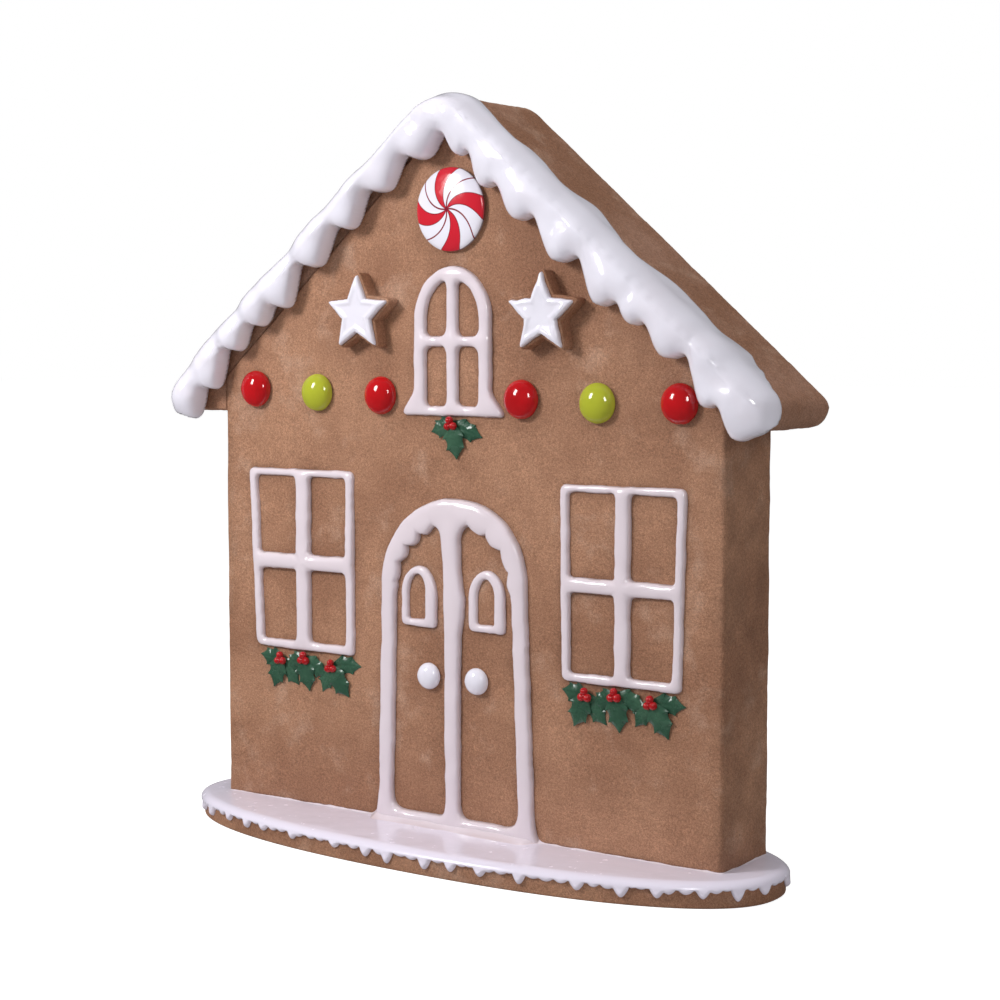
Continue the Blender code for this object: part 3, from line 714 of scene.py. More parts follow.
def in_window(x, z, side):
    """Inside a lower window's icing: inside its four corners and outside its four panes."""
    (low, high), corners, cross = WINDOWS[side]
    boxed = [(low.x, low.z), (high.x, low.z), (high.x, high.z), (low.x, high.z)]
    points = [(bx + dx, bz + dz) for (bx, bz), (dx, dz) in zip(boxed, corners)]
    ripple = icing_ripple(x, z, 11 if side == "left" else 23)
    found = in_polygon(x, z, points, WINDOW_CORNER)
    rise = (z - points[0][1]) / (points[3][1] - points[0][1])
    left = points[0][0] + rise * (points[3][0] - points[0][0]) + SIDE_BAR[side]
    right = points[1][0] + rise * (points[2][0] - points[1][0]) - SIDE_BAR[side]
    mullion, crossbar = MULLION[side] / 2.0, CROSSBAR[side] / 2.0
    low_pane, high_pane = points[0][1] + BOTTOM_BAR, points[3][1] - TOP_BAR
    for x0, x1 in ((left, cross[0] - mullion), (cross[0] + mullion, right)):
        for z0, z1 in ((low_pane, cross[1] - crossbar), (cross[1] + crossbar, high_pane)):
            wide = np.minimum(x - x0, x1 - x)
            tall = np.minimum(z - z0, z1 - z)
            found = smooth_min(found, -smooth_min(wide, tall, PANE_CORNER), HOLE_EDGE)
    return found + ripple


def in_upper_window(x, z):
    """Inside the arched window's icing: an arch with a spread foot, less its four panes."""
    foot = UPPER_FOOT_SPREAD * (1.0 - ease((z - UPPER_LOW.z) / UPPER_FOOT_HEIGHT))
    half = UPPER_HALF + 0.002 + foot
    found = in_arch(x, z, half, UPPER_LOW.z, UPPER_SPRING, UPPER_HIGH.z, 0.010)
    inner = in_arch(
        x, z, UPPER_HALF - UPPER_SIDE_BAR, UPPER_LOW.z + UPPER_SILL, UPPER_SPRING,
        UPPER_HIGH.z - UPPER_TOP_BAR, 0.012,
    )
    beside = np.abs(x) - UPPER_MULLION / 2.0
    above = np.abs(z - UPPER_CROSS) - UPPER_CROSSBAR / 2.0
    pane = smooth_min(inner, beside, UPPER_PANE_CORNER)
    pane = smooth_min(pane, above, UPPER_PANE_CORNER)
    return smooth_min(found, -pane, HOLE_EDGE) + icing_ripple(x, z, 37)


def in_door(x, z):
    """Inside the door's icing: an arch with leaning jambs, less its two scalloped panels.

    The scallops hang inside the arch as |sin(n a)|^0.7, with the angle a from straight up.
    """
    rise = z - FOOT
    lean = np.clip(rise / (DOOR_SPRING - FOOT), 0.0, 1.0)
    middle = x - DOOR_SHIFT * (1.0 - lean)
    flare = DOOR_FLARE * np.exp(-np.maximum(rise, 0.0) / DOOR_FLARE_HEIGHT)
    half = DOOR_SPRING_HALF + DOOR_SPREAD * (1.0 - lean) + flare
    power = np.where(middle > 0.0, DOOR_POWER["right"], DOOR_POWER["left"])
    found = in_arch(middle, z, half, FOOT - 0.012, DOOR_SPRING, DOOR_HIGH.z, 0.004, power)
    above = z - DOOR_SPRING + SCALLOP_CENTRE
    around = np.arctan2(middle, above)
    often = np.where(middle < 0.0, SCALLOPS["left"], SCALLOPS["right"])
    lumps = np.abs(np.sin(often * around + 0.35)) ** 0.7
    lumps = lumps * (1.0 + 0.4 * noise(around, 0.0, 0.0, 0.30, 55))
    lumps = SCALLOP_DEPTH * lumps * ease(above / 0.03)
    inner = in_arch(
        middle, z, half - flare - DOOR_JAMB, FOOT + DOOR_SILL, DOOR_SPRING,
        DOOR_HIGH.z - DOOR_LINTEL, DOOR_PANEL_CORNER, power,
    )
    heights, halves, places = np.array(DOOR_BAR).T
    beside = np.abs(x - np.interp(rise, heights, places)) - np.interp(rise, heights, halves)
    panel = smooth_min(inner - lumps, beside, DOOR_BAR_CORNER)
    return smooth_min(found, -panel, 0.004) + icing_ripple(x, z, 51)


# The small windows in the doors: half widths of the ring and of its hole, how far the hole is
# to one side, the bars below and above it, and the height of the two arches
RING_HALF, RING_HOLE = 0.0355, 0.0168
RING_SHIFT = {"left": -0.0035, "right": -0.0025}
RING_SILL, RING_TOP = 0.0145, 0.0150
RING_ARCH, HOLE_ARCH = 0.046, 0.044


def in_door_window(x, z, side):
    """Inside a small window's icing ring: an arch less a slightly shifted narrower arch."""
    low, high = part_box(f"door_window_{side}")
    middle = (low.x + high.x) / 2.0
    outer = in_arch(
        x - middle + 0.0008, z, RING_HALF, low.z + 0.001, high.z - RING_ARCH, high.z, 0.009
    )
    inner = in_arch(
        x - middle - RING_SHIFT[side], z, RING_HOLE, low.z + RING_SILL, high.z - HOLE_ARCH,
        high.z - RING_TOP, 0.006,
    )
    seed = 67 if side == "left" else 71
    return smooth_min(outer, -inner, HOLE_EDGE) + icing_ripple(x, z, seed)


def star_place(side):
    """A star's centre, which is a little below the middle of its box."""
    low, high = STARS[side]
    return (low.x + high.x) / 2.0, (low.z + high.z) / 2.0 - STAR_BELOW + STAR_LIFT[side]


def in_star_icing(x, z, side):
    """Inside a star's icing: the star's outline, made uneven, more so on the right."""
    middle = star_place(side)
    lump = 0.0012 if side == "right" else 0.0004
    found = in_star(x - middle[0], z - middle[1], STAR_RADIUS, STAR_WAIST, STAR_TIP)
    return found + lump * noise(x, 0.0, z, 0.013, 83)


# Hand-laid icing on the wall: how high it stands where it is wide, and what span counts as wide
BEAD_HIGH, BEAD_SPAN = 0.015, 0.016
# The star's icing: height, what span counts as wide, and its raised rim's height, place and width
SHEET_HIGH, SHEET_SPAN = 0.0072, 0.0048
STAR_RIM_HIGH, STAR_RIM_AT, STAR_RIM_WIDE = 0.0016, 0.0065, 0.0035


def place_on(face):
    """A function that puts (x, z, height) this far out in front of an upright plane."""
    return lambda x, z, height: np.stack([x, face - height, z], axis=-1)


def bead_shape(node, distance, step):
    """Hand-laid icing over a region of the wall: its height is tanh(span) of its full height."""
    low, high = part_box(node)

    def raised(span, x, z):
        return (BEAD_HIGH + 0.0012 * noise(x, 0.0, z, 0.030, 29)) * np.tanh(span / BEAD_SPAN)

    margin = 0.022
    return relief(
        distance, (low.x - margin, low.z - margin), (high.x + margin, high.z + margin), step,
        raised, place_on(WALL_FACE), cap=0.025,
    )


def star_icing_shape(side):
    """The star's icing: a thin sheet, tanh(span) high, with a bell-shaped rim, on its cookie."""
    low, high = STARS[side]

    def raised(span, x, z):
        inward = in_star_icing(x, z, side)
        rim = STAR_RIM_HIGH * np.exp(-(((inward - STAR_RIM_AT) / STAR_RIM_WIDE) ** 2))
        lumps = (0.0012 if side == "right" else 0.0003) * noise(x, 0.0, z, 0.016, 85)
        return SHEET_HIGH * np.tanh(span / SHEET_SPAN) + (rim + lumps) * np.tanh(span / 0.003)

    return relief(
        lambda x, z: in_star_icing(x, z, side), (low.x - 0.01, low.z - 0.02),
        (high.x + 0.01, high.z + 0.01), 0.0012, raised,
        place_on(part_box(f"star_cookie_{side}")[0].y), cap=0.03,
    )


# ---------------------------------------------------------------------------
# The roof and the icing that wraps its front edge
# ---------------------------------------------------------------------------

# The centres of the arcs on the ridge and round the eaves
RIDGE_CENTRE = ROOF_CREST - RIDGE_RADIUS / math.cos(PITCH)
EAVE_X = ROOF_HIGH.x - EAVE_RADIUS
EAVE_Z = ROOF_CREST - EAVE_X * math.tan(PITCH) - EAVE_RADIUS / math.cos(PITCH)
# The plane that the icing hangs on, and the radius round which it folds back over the roof
ICING_FACE = WALL_FACE - 0.015
WRAP = 0.010

# The icing's hanging lobes: where each ends, from the ridge outwards, and how low it hangs there
LOBES = {
    "left": ((-0.078, 1.114), (-0.154, 1.063), (-0.219, 1.008), (-0.300, 0.949),
             (-0.358, 0.882), (-0.410, 0.851), (-0.464, 0.809), (-0.517, 0.744), (-0.566, 0.693)),
    "right": ((0.047, 1.115), (0.102, 1.061), (0.172, 1.0105), (0.252, 0.947),
              (0.320, 0.879), (0.367, 0.849), (0.439, 0.802), (0.492, 0.729), (0.547, 0.684)),
}
LOBE_START = 1.1447
# Each lobe's lower edge: where along it the fall ends, how far it sags there, how much each of
# these varies, and where along it the sag is greatest
KNEE, KNEE_VARIES = 0.40, 0.05
SAG, SAG_VARIES, SAG_AT = 0.0085, 0.0020, 0.68
# Past the last lobe the edge turns up on an ellipse: its half axes, and over how many degrees
END_WIDTH, END_HEIGHT, END_TURN = 0.060, 0.075, 80.0
EDGE_SPACING, EDGE_BLUR = 0.0005, 0.0074
# How far the icing reaches back over the roof: distance from the ridge, and depth
ICING_REACH = (
    (0.0, 0.015), (0.039, 0.021), (0.112, 0.010), (0.147, 0.026), (0.198, 0.016), (0.247, 0.040),
    (0.327, 0.014), (0.393, 0.046), (0.456, 0.036), (0.500, 0.054), (0.527, 0.038), (0.545, 0.024),
    (0.560, 0.014), (0.571, 0.009), (0.64, 0.009),
)


def fold_angle(out):
    """How far the plane has turned at this distance outside the roof: 0 before the fold."""
    return np.clip((out + WRAP) / (WRAP * np.pi / 2.0), 0.0, 1.0) * np.pi / 2.0


def roof_side(x, z):
    """How far a point of the roof's front plane is outside the roof, and which way is out.

    The roof is taken as all that is below an arc on the ridge, a slope, an arc round the
    eave, and a line straight down from it.
    """
    across = np.abs(x)
    out = across * math.sin(PITCH) + (z - ROOF_CREST) * math.cos(PITCH)
    way_x, way_z = np.full_like(out, math.sin(PITCH)), np.full_like(out, math.cos(PITCH))
    rise = z - RIDGE_CENTRE
    reach = np.maximum(np.hypot(across, rise), 1e-6)
    ridge = across * math.cos(PITCH) < rise * math.sin(PITCH)
    out = np.where(ridge, reach - RIDGE_RADIUS, out)
    way_x, way_z = np.where(ridge, across / reach, way_x), np.where(ridge, rise / reach, way_z)
    past, over = across - EAVE_X, z - EAVE_Z
    reach = np.maximum(np.hypot(past, over), 1e-6)
    eave = past * math.cos(PITCH) - over * math.sin(PITCH) > 0.0
    under = eave & (over < 0.0)
    out = np.where(under, past - EAVE_RADIUS, np.where(eave, reach - EAVE_RADIUS, out))
    way_x = np.where(under, 1.0, np.where(eave, past / reach, way_x)) * np.where(x < 0.0, -1.0, 1.0)
    way_z = np.where(under, 0.0, np.where(eave, over / reach, way_z))
    return out, way_x, way_z


def place_on_roof_edge(x, z, height):
    """Folds the plane of the roof's front back over its top edge, round a quarter arc.

    A point outside the roof by d goes to the roof's top at a depth near d, and height
    lifts it along the turned normal.
    """
    out, way_x, way_z = roof_side(x, z)
    bend = fold_angle(out)
    moved = np.minimum(out + WRAP, 0.0) - WRAP + WRAP * np.sin(bend) - out
    depth = WRAP * (1.0 - np.cos(bend)) + np.maximum(out + WRAP - WRAP * np.pi / 2.0, 0.0)
    lift = height * np.sin(bend)
    return np.stack([
        x + (moved + lift) * way_x, ICING_FACE + depth - height * np.cos(bend),
        z + (moved + lift) * way_z,
    ], axis=-1)


def blurred(line, spacing, radius):
    """The line's inner points replaced by a bell-weighted mean along it."""
    count = int(3.0 * radius / spacing)
    weight = np.exp(-0.5 * (np.arange(-count, count + 1) * spacing / radius) ** 2)
    padded = np.concatenate([
        2.0 * line[0] - line[count:0:-1], line, 2.0 * line[-1] - line[-2:-count - 2:-1],
    ])
    smooth = [np.convolve(padded[:, k], weight / weight.sum(), "valid") for k in (0, 1)]
    return np.stack(smooth, axis=1)


def lobe_edge():
    """The icing's lower edge from eave to eave, as a blurred chain of straight pieces.

    Each lobe falls steeply up to its knee, runs on level, sags a little more, and comes
    back up to where the next lobe starts. Past the last lobe the edge curves up round the
    eave.
    """
    sides = []
    for side, turn in (("left", -1.0), ("right", 1.0)):
        points = [(0.0, LOBE_START)]
        for number, end in enumerate(LOBES[side]):
            start = points[-1]
            run, fall = end[0] - start[0], end[1] - start[1]
            knee = KNEE + KNEE_VARIES * lattice(number, 3, 5, 9)
            sag = SAG + SAG_VARIES * lattice(number, 4, 5, 9)
            points += [
                (start[0] + 0.06 * run, start[1] + 0.02 * fall),
                (start[0] + knee * run, end[1] - 0.7 * sag),
                (start[0] + SAG_AT * run, end[1] - sag), end,
            ]
        sweep = np.radians(np.linspace(-END_TURN, 0.0, 30)[1:])
        first = math.radians(END_TURN)
        around = np.stack([
            points[-1][0] + turn * END_WIDTH * (np.cos(sweep) - math.cos(first)),
            points[-1][1] + END_HEIGHT * (np.sin(sweep) + math.sin(first)),
        ], axis=1)
        sides.append(np.concatenate([np.array(points), around]))
    left, right = sides
    line = evenly(np.concatenate([left[:0:-1], right]), EDGE_SPACING)
    return evenly(blurred(line, EDGE_SPACING, EDGE_BLUR), 0.002)


def reach_back(across):
    """Depth of the icing's rear edge on the roof, eased between its listed places."""
    places, depths = np.array(ICING_REACH).T
    at = np.clip(np.searchsorted(places, across) - 1, 0, len(places) - 2)
    part = ease((across - places[at]) / (places[at + 1] - places[at]))
    return depths[at] + (depths[at + 1] - depths[at]) * part


# The icing's height is full where its span is this, and follows 1 - exp(-span / swell)
FULL_SPAN, FRONT_SWELL, TOP_SWELL = 0.045, 0.032, 0.008
# Its height on the roof's top: at the ridge, its growth outwards, and what the left side adds
TOP_HEIGHT, TOP_GROWTH, TOP_LEFT = 0.0068, 0.016, 0.026
# How far its back reaches behind a wide span, what span counts as wide, and how much further
# back over the roof the left side reaches
BEHIND, BEHIND_SPAN, LEFT_REACH = 0.0145, 0.022, 0.018


def roof_icing_shape(thickness, step):
    """The icing that hangs in lobes down the roof's front and wraps back over its top.

    Where it folds over the edge, its height goes round a quarter ellipse from its thickness
    in front to its thickness on top.
    """
    line = lobe_edge()

    def distance(x, z):
        """Inside the icing: above its lower edge, and in front of its rear edge."""
        out, way_x, _ = roof_side(x, z)
        foot = np.abs(x - out * way_x)
        reach = reach_back(np.where(x < 0.0, foot * 0.94 + 0.012, foot))
        reach = reach + LEFT_REACH * ease(-x / 0.06)
        rear = (reach - out) * 0.85
        rear = rear + 0.0012 * noise(x, 0.0, z, 0.018, 5)
        wobble = 0.0010 * noise(x, 0.0, z, 0.030, 7)
        below = edge_distance(x, z, line, 26) * np.where(
            z > np.interp(x, line[:, 0], line[:, 1]), 1.0, -1.0
        )
        return smooth_min(below + wobble, rear, 0.008)

    def raised(span, x, z):
        """The height in front and on top, each 1 - exp(-span / swell) of its full height."""
        bend = fold_angle(roof_side(x, z)[0])
        full = thickness * (1.0 - np.exp(-span / FRONT_SWELL))
        full = full / (1.0 - math.exp(-FULL_SPAN / FRONT_SWELL))
        fuller = TOP_LEFT * ease(-x / 0.22) * ease((0.60 + x) / 0.10)
        top = TOP_HEIGHT + TOP_GROWTH * np.abs(x) + fuller * np.abs(x) ** 0.5
        top = top * (1.0 - np.exp(-span / TOP_SWELL))
        height = 1.0 / np.hypot(
            np.cos(bend) / np.maximum(full, 1e-5), np.sin(bend) / np.maximum(top, 1e-5)
        )
        waves, ripples = noise(x, 0.0, z, 0.045, 17), noise(x, 0.0, z, 0.02, 19)
        return height * (1.0 + 0.13 * waves + 0.03 * ripples)

    def behind(span, x, z):
        """How far the back reaches behind: tanh(span) in front, and nothing on top."""
        upright = 1.0 - np.sin(fold_angle(roof_side(x, z)[0]))
        return BEHIND * np.tanh(span / BEHIND_SPAN) * upright

    margin = 0.09
    low, high = (-0.66, 0.66), (0.66, ROOF_HIGH.z + margin)
    return relief(
        distance, low, high, step, raised, place_on_roof_edge, behind, cap=FULL_SPAN
    )


def roof_outline(side):
    """The roof's upper and lower lines from the ridge to one eave's tip, as dense points."""
    foot = EAVE_FOOT_RADIUS[side]
    pitch = math.degrees(PITCH)
    ridge = np.radians(np.linspace(90.0, 90.0 - pitch, 40))
    nose = np.radians(np.linspace(90.0 - pitch, 0.0, 60))
    upper = np.concatenate([
        np.stack([RIDGE_RADIUS * np.cos(ridge), RIDGE_CENTRE + RIDGE_RADIUS * np.sin(ridge)], 1),
        np.stack([EAVE_X + EAVE_RADIUS * np.cos(nose), EAVE_Z + EAVE_RADIUS * np.sin(nose)], 1),
    ])
    toe = np.radians(np.linspace(0.0, -90.0, 60))
    crest = ROOF_CREST - ROOF_THICK / math.cos(PITCH)
    lower = np.concatenate([
        np.stack([ROOF_HIGH.x - foot + foot * np.cos(toe), EAVE_Z + foot * np.sin(toe)], 1),
        [[BESIDE_WALL + EAVE_STEP, EAVE_Z - foot]],
        [[BESIDE_WALL, crest - BESIDE_WALL * math.tan(PITCH)], [0.0, crest]],
    ])[::-1]
    return upper, lower


# The roof's points are this much closer together than the wall's
ROOF_FINER = 0.58
# The slab: the rounding of its long edges, and the length of each tip where rings lie closer
ROOF_CORNER, ROOF_TIP = 0.005, 0.03
# How many points each of the slab's two faces has between its rounded edges
FACE_POINTS = 12
# The slab's least thickness, which leaves a narrow flat end on each tip
TIP_THICK = 0.0006


def roof_shape(step):
    """The roof's slab: a rounded rectangle in depth and height, carried from eave to eave.

    At each place across, its height goes from the lower line (share 0) to the upper one
    (share 1), less an inset that rounds its edges along a quarter circle.
    """
    tip = ROOF_HIGH.x
    across = np.linspace(-1.0, 1.0, int(2.0 * tip / step))
    near_tip = ROOF_TIP * (1.0 - np.cos(np.linspace(0.0, np.pi / 2.0, 46)))
    across = np.unique(np.concatenate([
        near_tip - tip, tip - near_tip, across[np.abs(across) < 1.0 - 0.031 / tip] * tip,
        [side * (BESIDE_WALL + more) for side in (-1.0, 1.0) for more in (0.0, EAVE_STEP)],
    ]))
    lines = [
        [np.interp(np.abs(across), line[:, 0], line[:, 1]) for line in roof_outline(side)]
        for side in SIDES
    ]
    top, low = np.where(across < 0.0, lines[0], lines[1])
    top = np.maximum(top, low + TIP_THICK)

    deep = ROOF_HIGH.y - ROOF_LOW.y
    flat = int(deep / step)
    bend = np.linspace(0.0, np.pi / 2.0, 5)
    opening, closing = ROOF_CORNER * (1.0 - np.cos(bend)), ROOF_CORNER * (1.0 - np.sin(bend))
    between = np.linspace(ROOF_CORNER, deep - ROOF_CORNER, flat)[1:-1]
    over = np.concatenate([opening, between, deep - closing])
    rounding = np.concatenate([closing, np.zeros(flat - 2), opening])
    face = np.linspace(0.0, 1.0, FACE_POINTS + 2)[1:-1]
    corner = np.full(FACE_POINTS, ROOF_CORNER)
    y = np.concatenate([over, np.full(FACE_POINTS, deep), over[::-1], np.zeros(FACE_POINTS)])[::-1]
    share = np.concatenate([np.ones(len(over)), 1.0 - face, np.zeros(len(over)), face])[::-1]
    inset = np.concatenate([rounding, corner, rounding[::-1], corner])[::-1]

    on_face = (share > 0.0) & (share < 1.0)
    upward = np.where(share > 0.5, 1.0, -1.0)
    thick = (top - low)[:, None]
    inset = -upward * np.minimum(inset[None], 0.45 * thick)
    inset = np.where(on_face, (1.0 - 2.0 * share) * np.abs(inset), inset)
    z = low[:, None] + thick * share[None] + inset
    x = np.broadcast_to(across[:, None], z.shape)
    y = np.broadcast_to(ROOF_FACE + y[None], z.shape)
    bumpy = 0.0005 * noise(x, y, z, 0.0055, 3) + 0.0007 * noise(x, y, z, 0.03, 4)
    bumpy = bumpy * ease(thick / 0.02)
    z = z + bumpy * upward
    y = y + bumpy * on_face * np.where(y > 0.0, 1.0, -1.0)
    return ringed(np.stack([x, y, z], axis=-1))


# ---------------------------------------------------------------------------
# Wall, board and snow
# ---------------------------------------------------------------------------

WALL_CORNER = 0.007
# How far the wall's top stays below the roof's underside
ROOF_GAP = 0.0006
# Painted shade beside the icing, the darkening towards the wall's upright edges, and painted shade
# at its foot: strength and fade
SHADE_BESIDE_ICING, SHADE_BESIDE_ICING_FADE = 0.75, 0.006
EDGE_DARKENING, EDGE_FADE = 0.3, 0.02
FOOT_SHADE, FOOT_FADE = 0.35, 0.008


def wall_plan(step):
    """The wall's rounded rectangle in plan, counter-clockwise: points and outward normals."""
    half_x, half_y = WALL_HIGH.x - WALL_CORNER, (WALL_HIGH.y - WALL_LOW.y) / 2.0 - WALL_CORNER
    middle = (WALL_HIGH.y + WALL_LOW.y) / 2.0
    points, normals = [], []
    corners = ((1.0, -1.0), (1.0, 1.0), (-1.0, 1.0), (-1.0, -1.0))
    for number, (side_x, side_y) in enumerate(corners):
        turn = np.radians(90.0 * number - 90.0 + np.linspace(0.0, 90.0, 9))
        away = np.stack([np.cos(turn), np.sin(turn)], axis=1)
        arc = np.array((side_x * half_x, side_y * half_y)) + WALL_CORNER * away
        length = 2.0 * (half_y if number in (0, 2) else half_x)
        count = int(length / step)
        along = np.linspace(0.0, length, count)[1:-1, None] * np.array((-away[-1, 1], away[-1, 0]))
        points += [arc, arc[-1] + along]
        normals += [away, np.broadcast_to(away[-1], along.shape)]
    return np.concatenate(points) + (0.0, middle), np.concatenate(normals)


def painted_contact_shade(x, z):
    """Painted shade on the front: exp(-gap / fade), by the gap to the nearest icing or to the
    wall's foot.
    """
    gap = -in_window(x, z, "left")
    for found in (
        in_window(x, z, "right"), in_upper_window(x, z), in_door(x, z),
        in_door_window(x, z, "left"), in_door_window(x, z, "right"),
    ):
        gap = np.minimum(gap, -found)
    gap = np.minimum(gap, (z - FOOT) * 1.2)
    patches = 0.5 + 0.5 * noise(x, 0.0, z, 0.05, 91)
    return SHADE_BESIDE_ICING * np.exp(-np.maximum(gap, 0.0) / SHADE_BESIDE_ICING_FADE) * patches


def wall_shape(step):
    """The wall: its plan carried up to the roof's underside, with a slightly uneven face.

    Over each point of the plan, its rings are evenly spaced from the foot to the roof.
    """
    plan, away = wall_plan(step)
    under = ROOF_CREST - ROOF_THICK / math.cos(PITCH) - np.abs(plan[:, 0]) * math.tan(PITCH)
    foot = WALL_LOW.z
    count = int(1.1 * (WALL_HIGH.z - foot) / step)
    share = np.linspace(0.0, 1.0, count)[:, None]
    z = foot + share * (under - ROOF_GAP - foot)[None]
    x = np.broadcast_to(plan[:, 0], z.shape)
    y = np.broadcast_to(plan[:, 1], z.shape)
    uneven = 0.0007 * noise(x, y, z, 0.045, 31) + 0.0004 * noise(x, y, z, 0.011, 32)
    rings = np.stack([x + uneven * away[:, 0], y + uneven * away[:, 1], z], axis=-1)
    front = (away[:, 1] < -0.9)[None]
    foot_shade = FOOT_SHADE * np.exp(-np.maximum(z - foot, 0.0) / FOOT_FADE)
    edge = np.maximum(WALL_HIGH.x - np.abs(x), 0.0)
    edge_darkening = EDGE_DARKENING * np.exp(-((edge / EDGE_FADE) ** 2)) * (0.5 + noise(x, y, z, 0.03, 33))
    # Painted shade beside the icing and at the foot, and a darkening towards the upright edges
    shade = np.maximum(np.where(front, painted_contact_shade(x, z), foot_shade), edge_darkening)
    shade = np.concatenate([shade.ravel(), [0.0, 0.0]])
    return ringed(rings), np.clip(shade, 0.0, 1.0)


OVAL_POWER = 2.3
BOARD_EDGE = 0.003


def oval_round(count):
    """The board's oval, |x/a|^p + |y/b|^p = 1, in even steps.

    Returns its points, their outward normals, their places along it, and its length.
    """
    half = (BASE_HIGH.x, BASE_HIGH.y)
    angle = np.linspace(0.0, 2.0 * np.pi, 8001)
    c, s = np.cos(angle), np.sin(angle)
    dense = np.stack([
        half[0] * np.sign(c) * np.abs(c) ** (2.0 / OVAL_POWER),
        half[1] * np.sign(s) * np.abs(s) ** (2.0 / OVAL_POWER),
    ], axis=1)
    length = np.concatenate([[0.0], np.cumsum(np.hypot(*np.diff(dense, axis=0).T))])
    at = np.linspace(0.0, length[-1], count + 1)[:-1]
    points = np.stack([np.interp(at, length, dense[:, k]) for k in (0, 1)], axis=1)
    level = np.sign(points) * (np.abs(points) / half) ** (OVAL_POWER - 1.0) / half
    return points, level / np.linalg.norm(level, axis=1)[:, None], at, length[-1]


def ring_at(points, normals, outward, height, scale=1.0):
    """A ring of the oval moved outward, scaled about the middle, at this height."""
    moved = (points + normals * np.reshape(outward, (-1, 1))) * scale
    return np.concatenate([
        moved, np.broadcast_to(np.reshape(height, (-1, 1)), (len(points), 1)),
    ], axis=1)


def board_shape():
    """The board: the oval from its underside up, with a small rounding below and a rough side."""
    points, normals, _, _ = oval_round(900)
    rings = [ring_at(points, normals, -BOARD_EDGE, 0.0, 0.5)]
    for bend in np.radians((0.0, 30.0, 60.0, 90.0)):
        inset = BOARD_EDGE * (1.0 - math.sin(bend))
        rings.append(ring_at(points, normals, -inset, BOARD_EDGE * (1.0 - math.cos(bend))))
    for height in np.linspace(BOARD_EDGE, BASE_HIGH.z, 13)[1:]:
        rough = 0.0004 * noise(points[:, 0], points[:, 1], height, 0.006, 41)
        rings.append(ring_at(points, normals, rough, height))
    rings.append(ring_at(points, normals, -BOARD_EDGE, BASE_HIGH.z, 0.5))
    return ringed(np.stack(rings))


# The drips round the board: their spacing, and which of each run of them are long
DRIP_SPACING = 0.0235
LONG_DRIPS = (0, 1, 0, 1, 0, 0, 1, 0, 1, 0, 1, 0, 0, 1, 0, 0, 0, 1, 0)
# How far a drip may stray from the middle of its spacing, as a share of the spacing
DRIP_STRAY = 0.24
# Each a middle value and how much it varies: the depth and half width of a short drip, and of
# what a long one adds
SHORT_DEPTH, SHORT_HALF = (0.0064, 0.0022), (0.0132, 0.0018)
LONG_DEPTH, LONG_HALF = (0.0098, 0.0036), (0.0128, 0.0018)


def drip_edge(length, top):
    """The snow's lower edge round the board: short drips, and a long one after every few.

    Each drip lowers the edge by depth * (1 - q^2), with q rising from 0 at its middle to 1
    at its half width, and the long ones by more; then the line is blurred a little.
    """
    along = np.linspace(-0.06, length + 0.06, 5200)
    count = int(length / DRIP_SPACING)
    number = np.arange(count)
    is_long = np.array(LONG_DRIPS)[number % len(LONG_DRIPS)]
    middles = (number + 0.5 + DRIP_STRAY * lattice(number, 1, 2, 3)) * length / count
    depth, half, drop, slim = (
        middle + varies * lattice(number, row, 2, 3) for row, (middle, varies) in enumerate(
            (SHORT_DEPTH, SHORT_HALF, LONG_DEPTH, LONG_HALF), start=4
        )
    )
    lowered = np.zeros_like(along)
    for turn in (-length, 0.0, length):
        gap = np.abs(along[:, None] - middles[None] - turn)
        short = depth * (1.0 - np.clip(gap / half, 0.0, 1.0) ** 2)
        long = is_long * drop * (1.0 - np.clip(gap / slim, 0.0, 1.0) ** 1.6)
        lowered = np.maximum(lowered, (short + long).max(1))
    wander = 0.0012 * noise(along % length, 0.0, 0.0, 0.07, 6)
    line = np.stack([along, top + wander - lowered], axis=1)
    return evenly(blurred(evenly(line, 0.0004), 0.0004, 0.0015), 0.0009), middles[is_long == 1]


# The snow: its gap from the board, its rim's rounding in height and depth, how far from its
# lower edge the skirt reaches its full thickness, how far a long drip bulges, and the rings of
# its top, as shares of the way from the middle to the rim
SNOW_GAP = 0.0003
SNOW_RIM_TALL, SNOW_RIM_DEEP = 0.0125, 0.017
SKIRT_FADE, DRIP_BULGE = 0.0065, 0.0022
SNOW_RINGS = (0.975, 0.94, 0.9, 0.85, 0.8, 0.74, 0.68, 0.62, 0.55, 0.48, 0.4, 0.3, 0.2, 0.1)


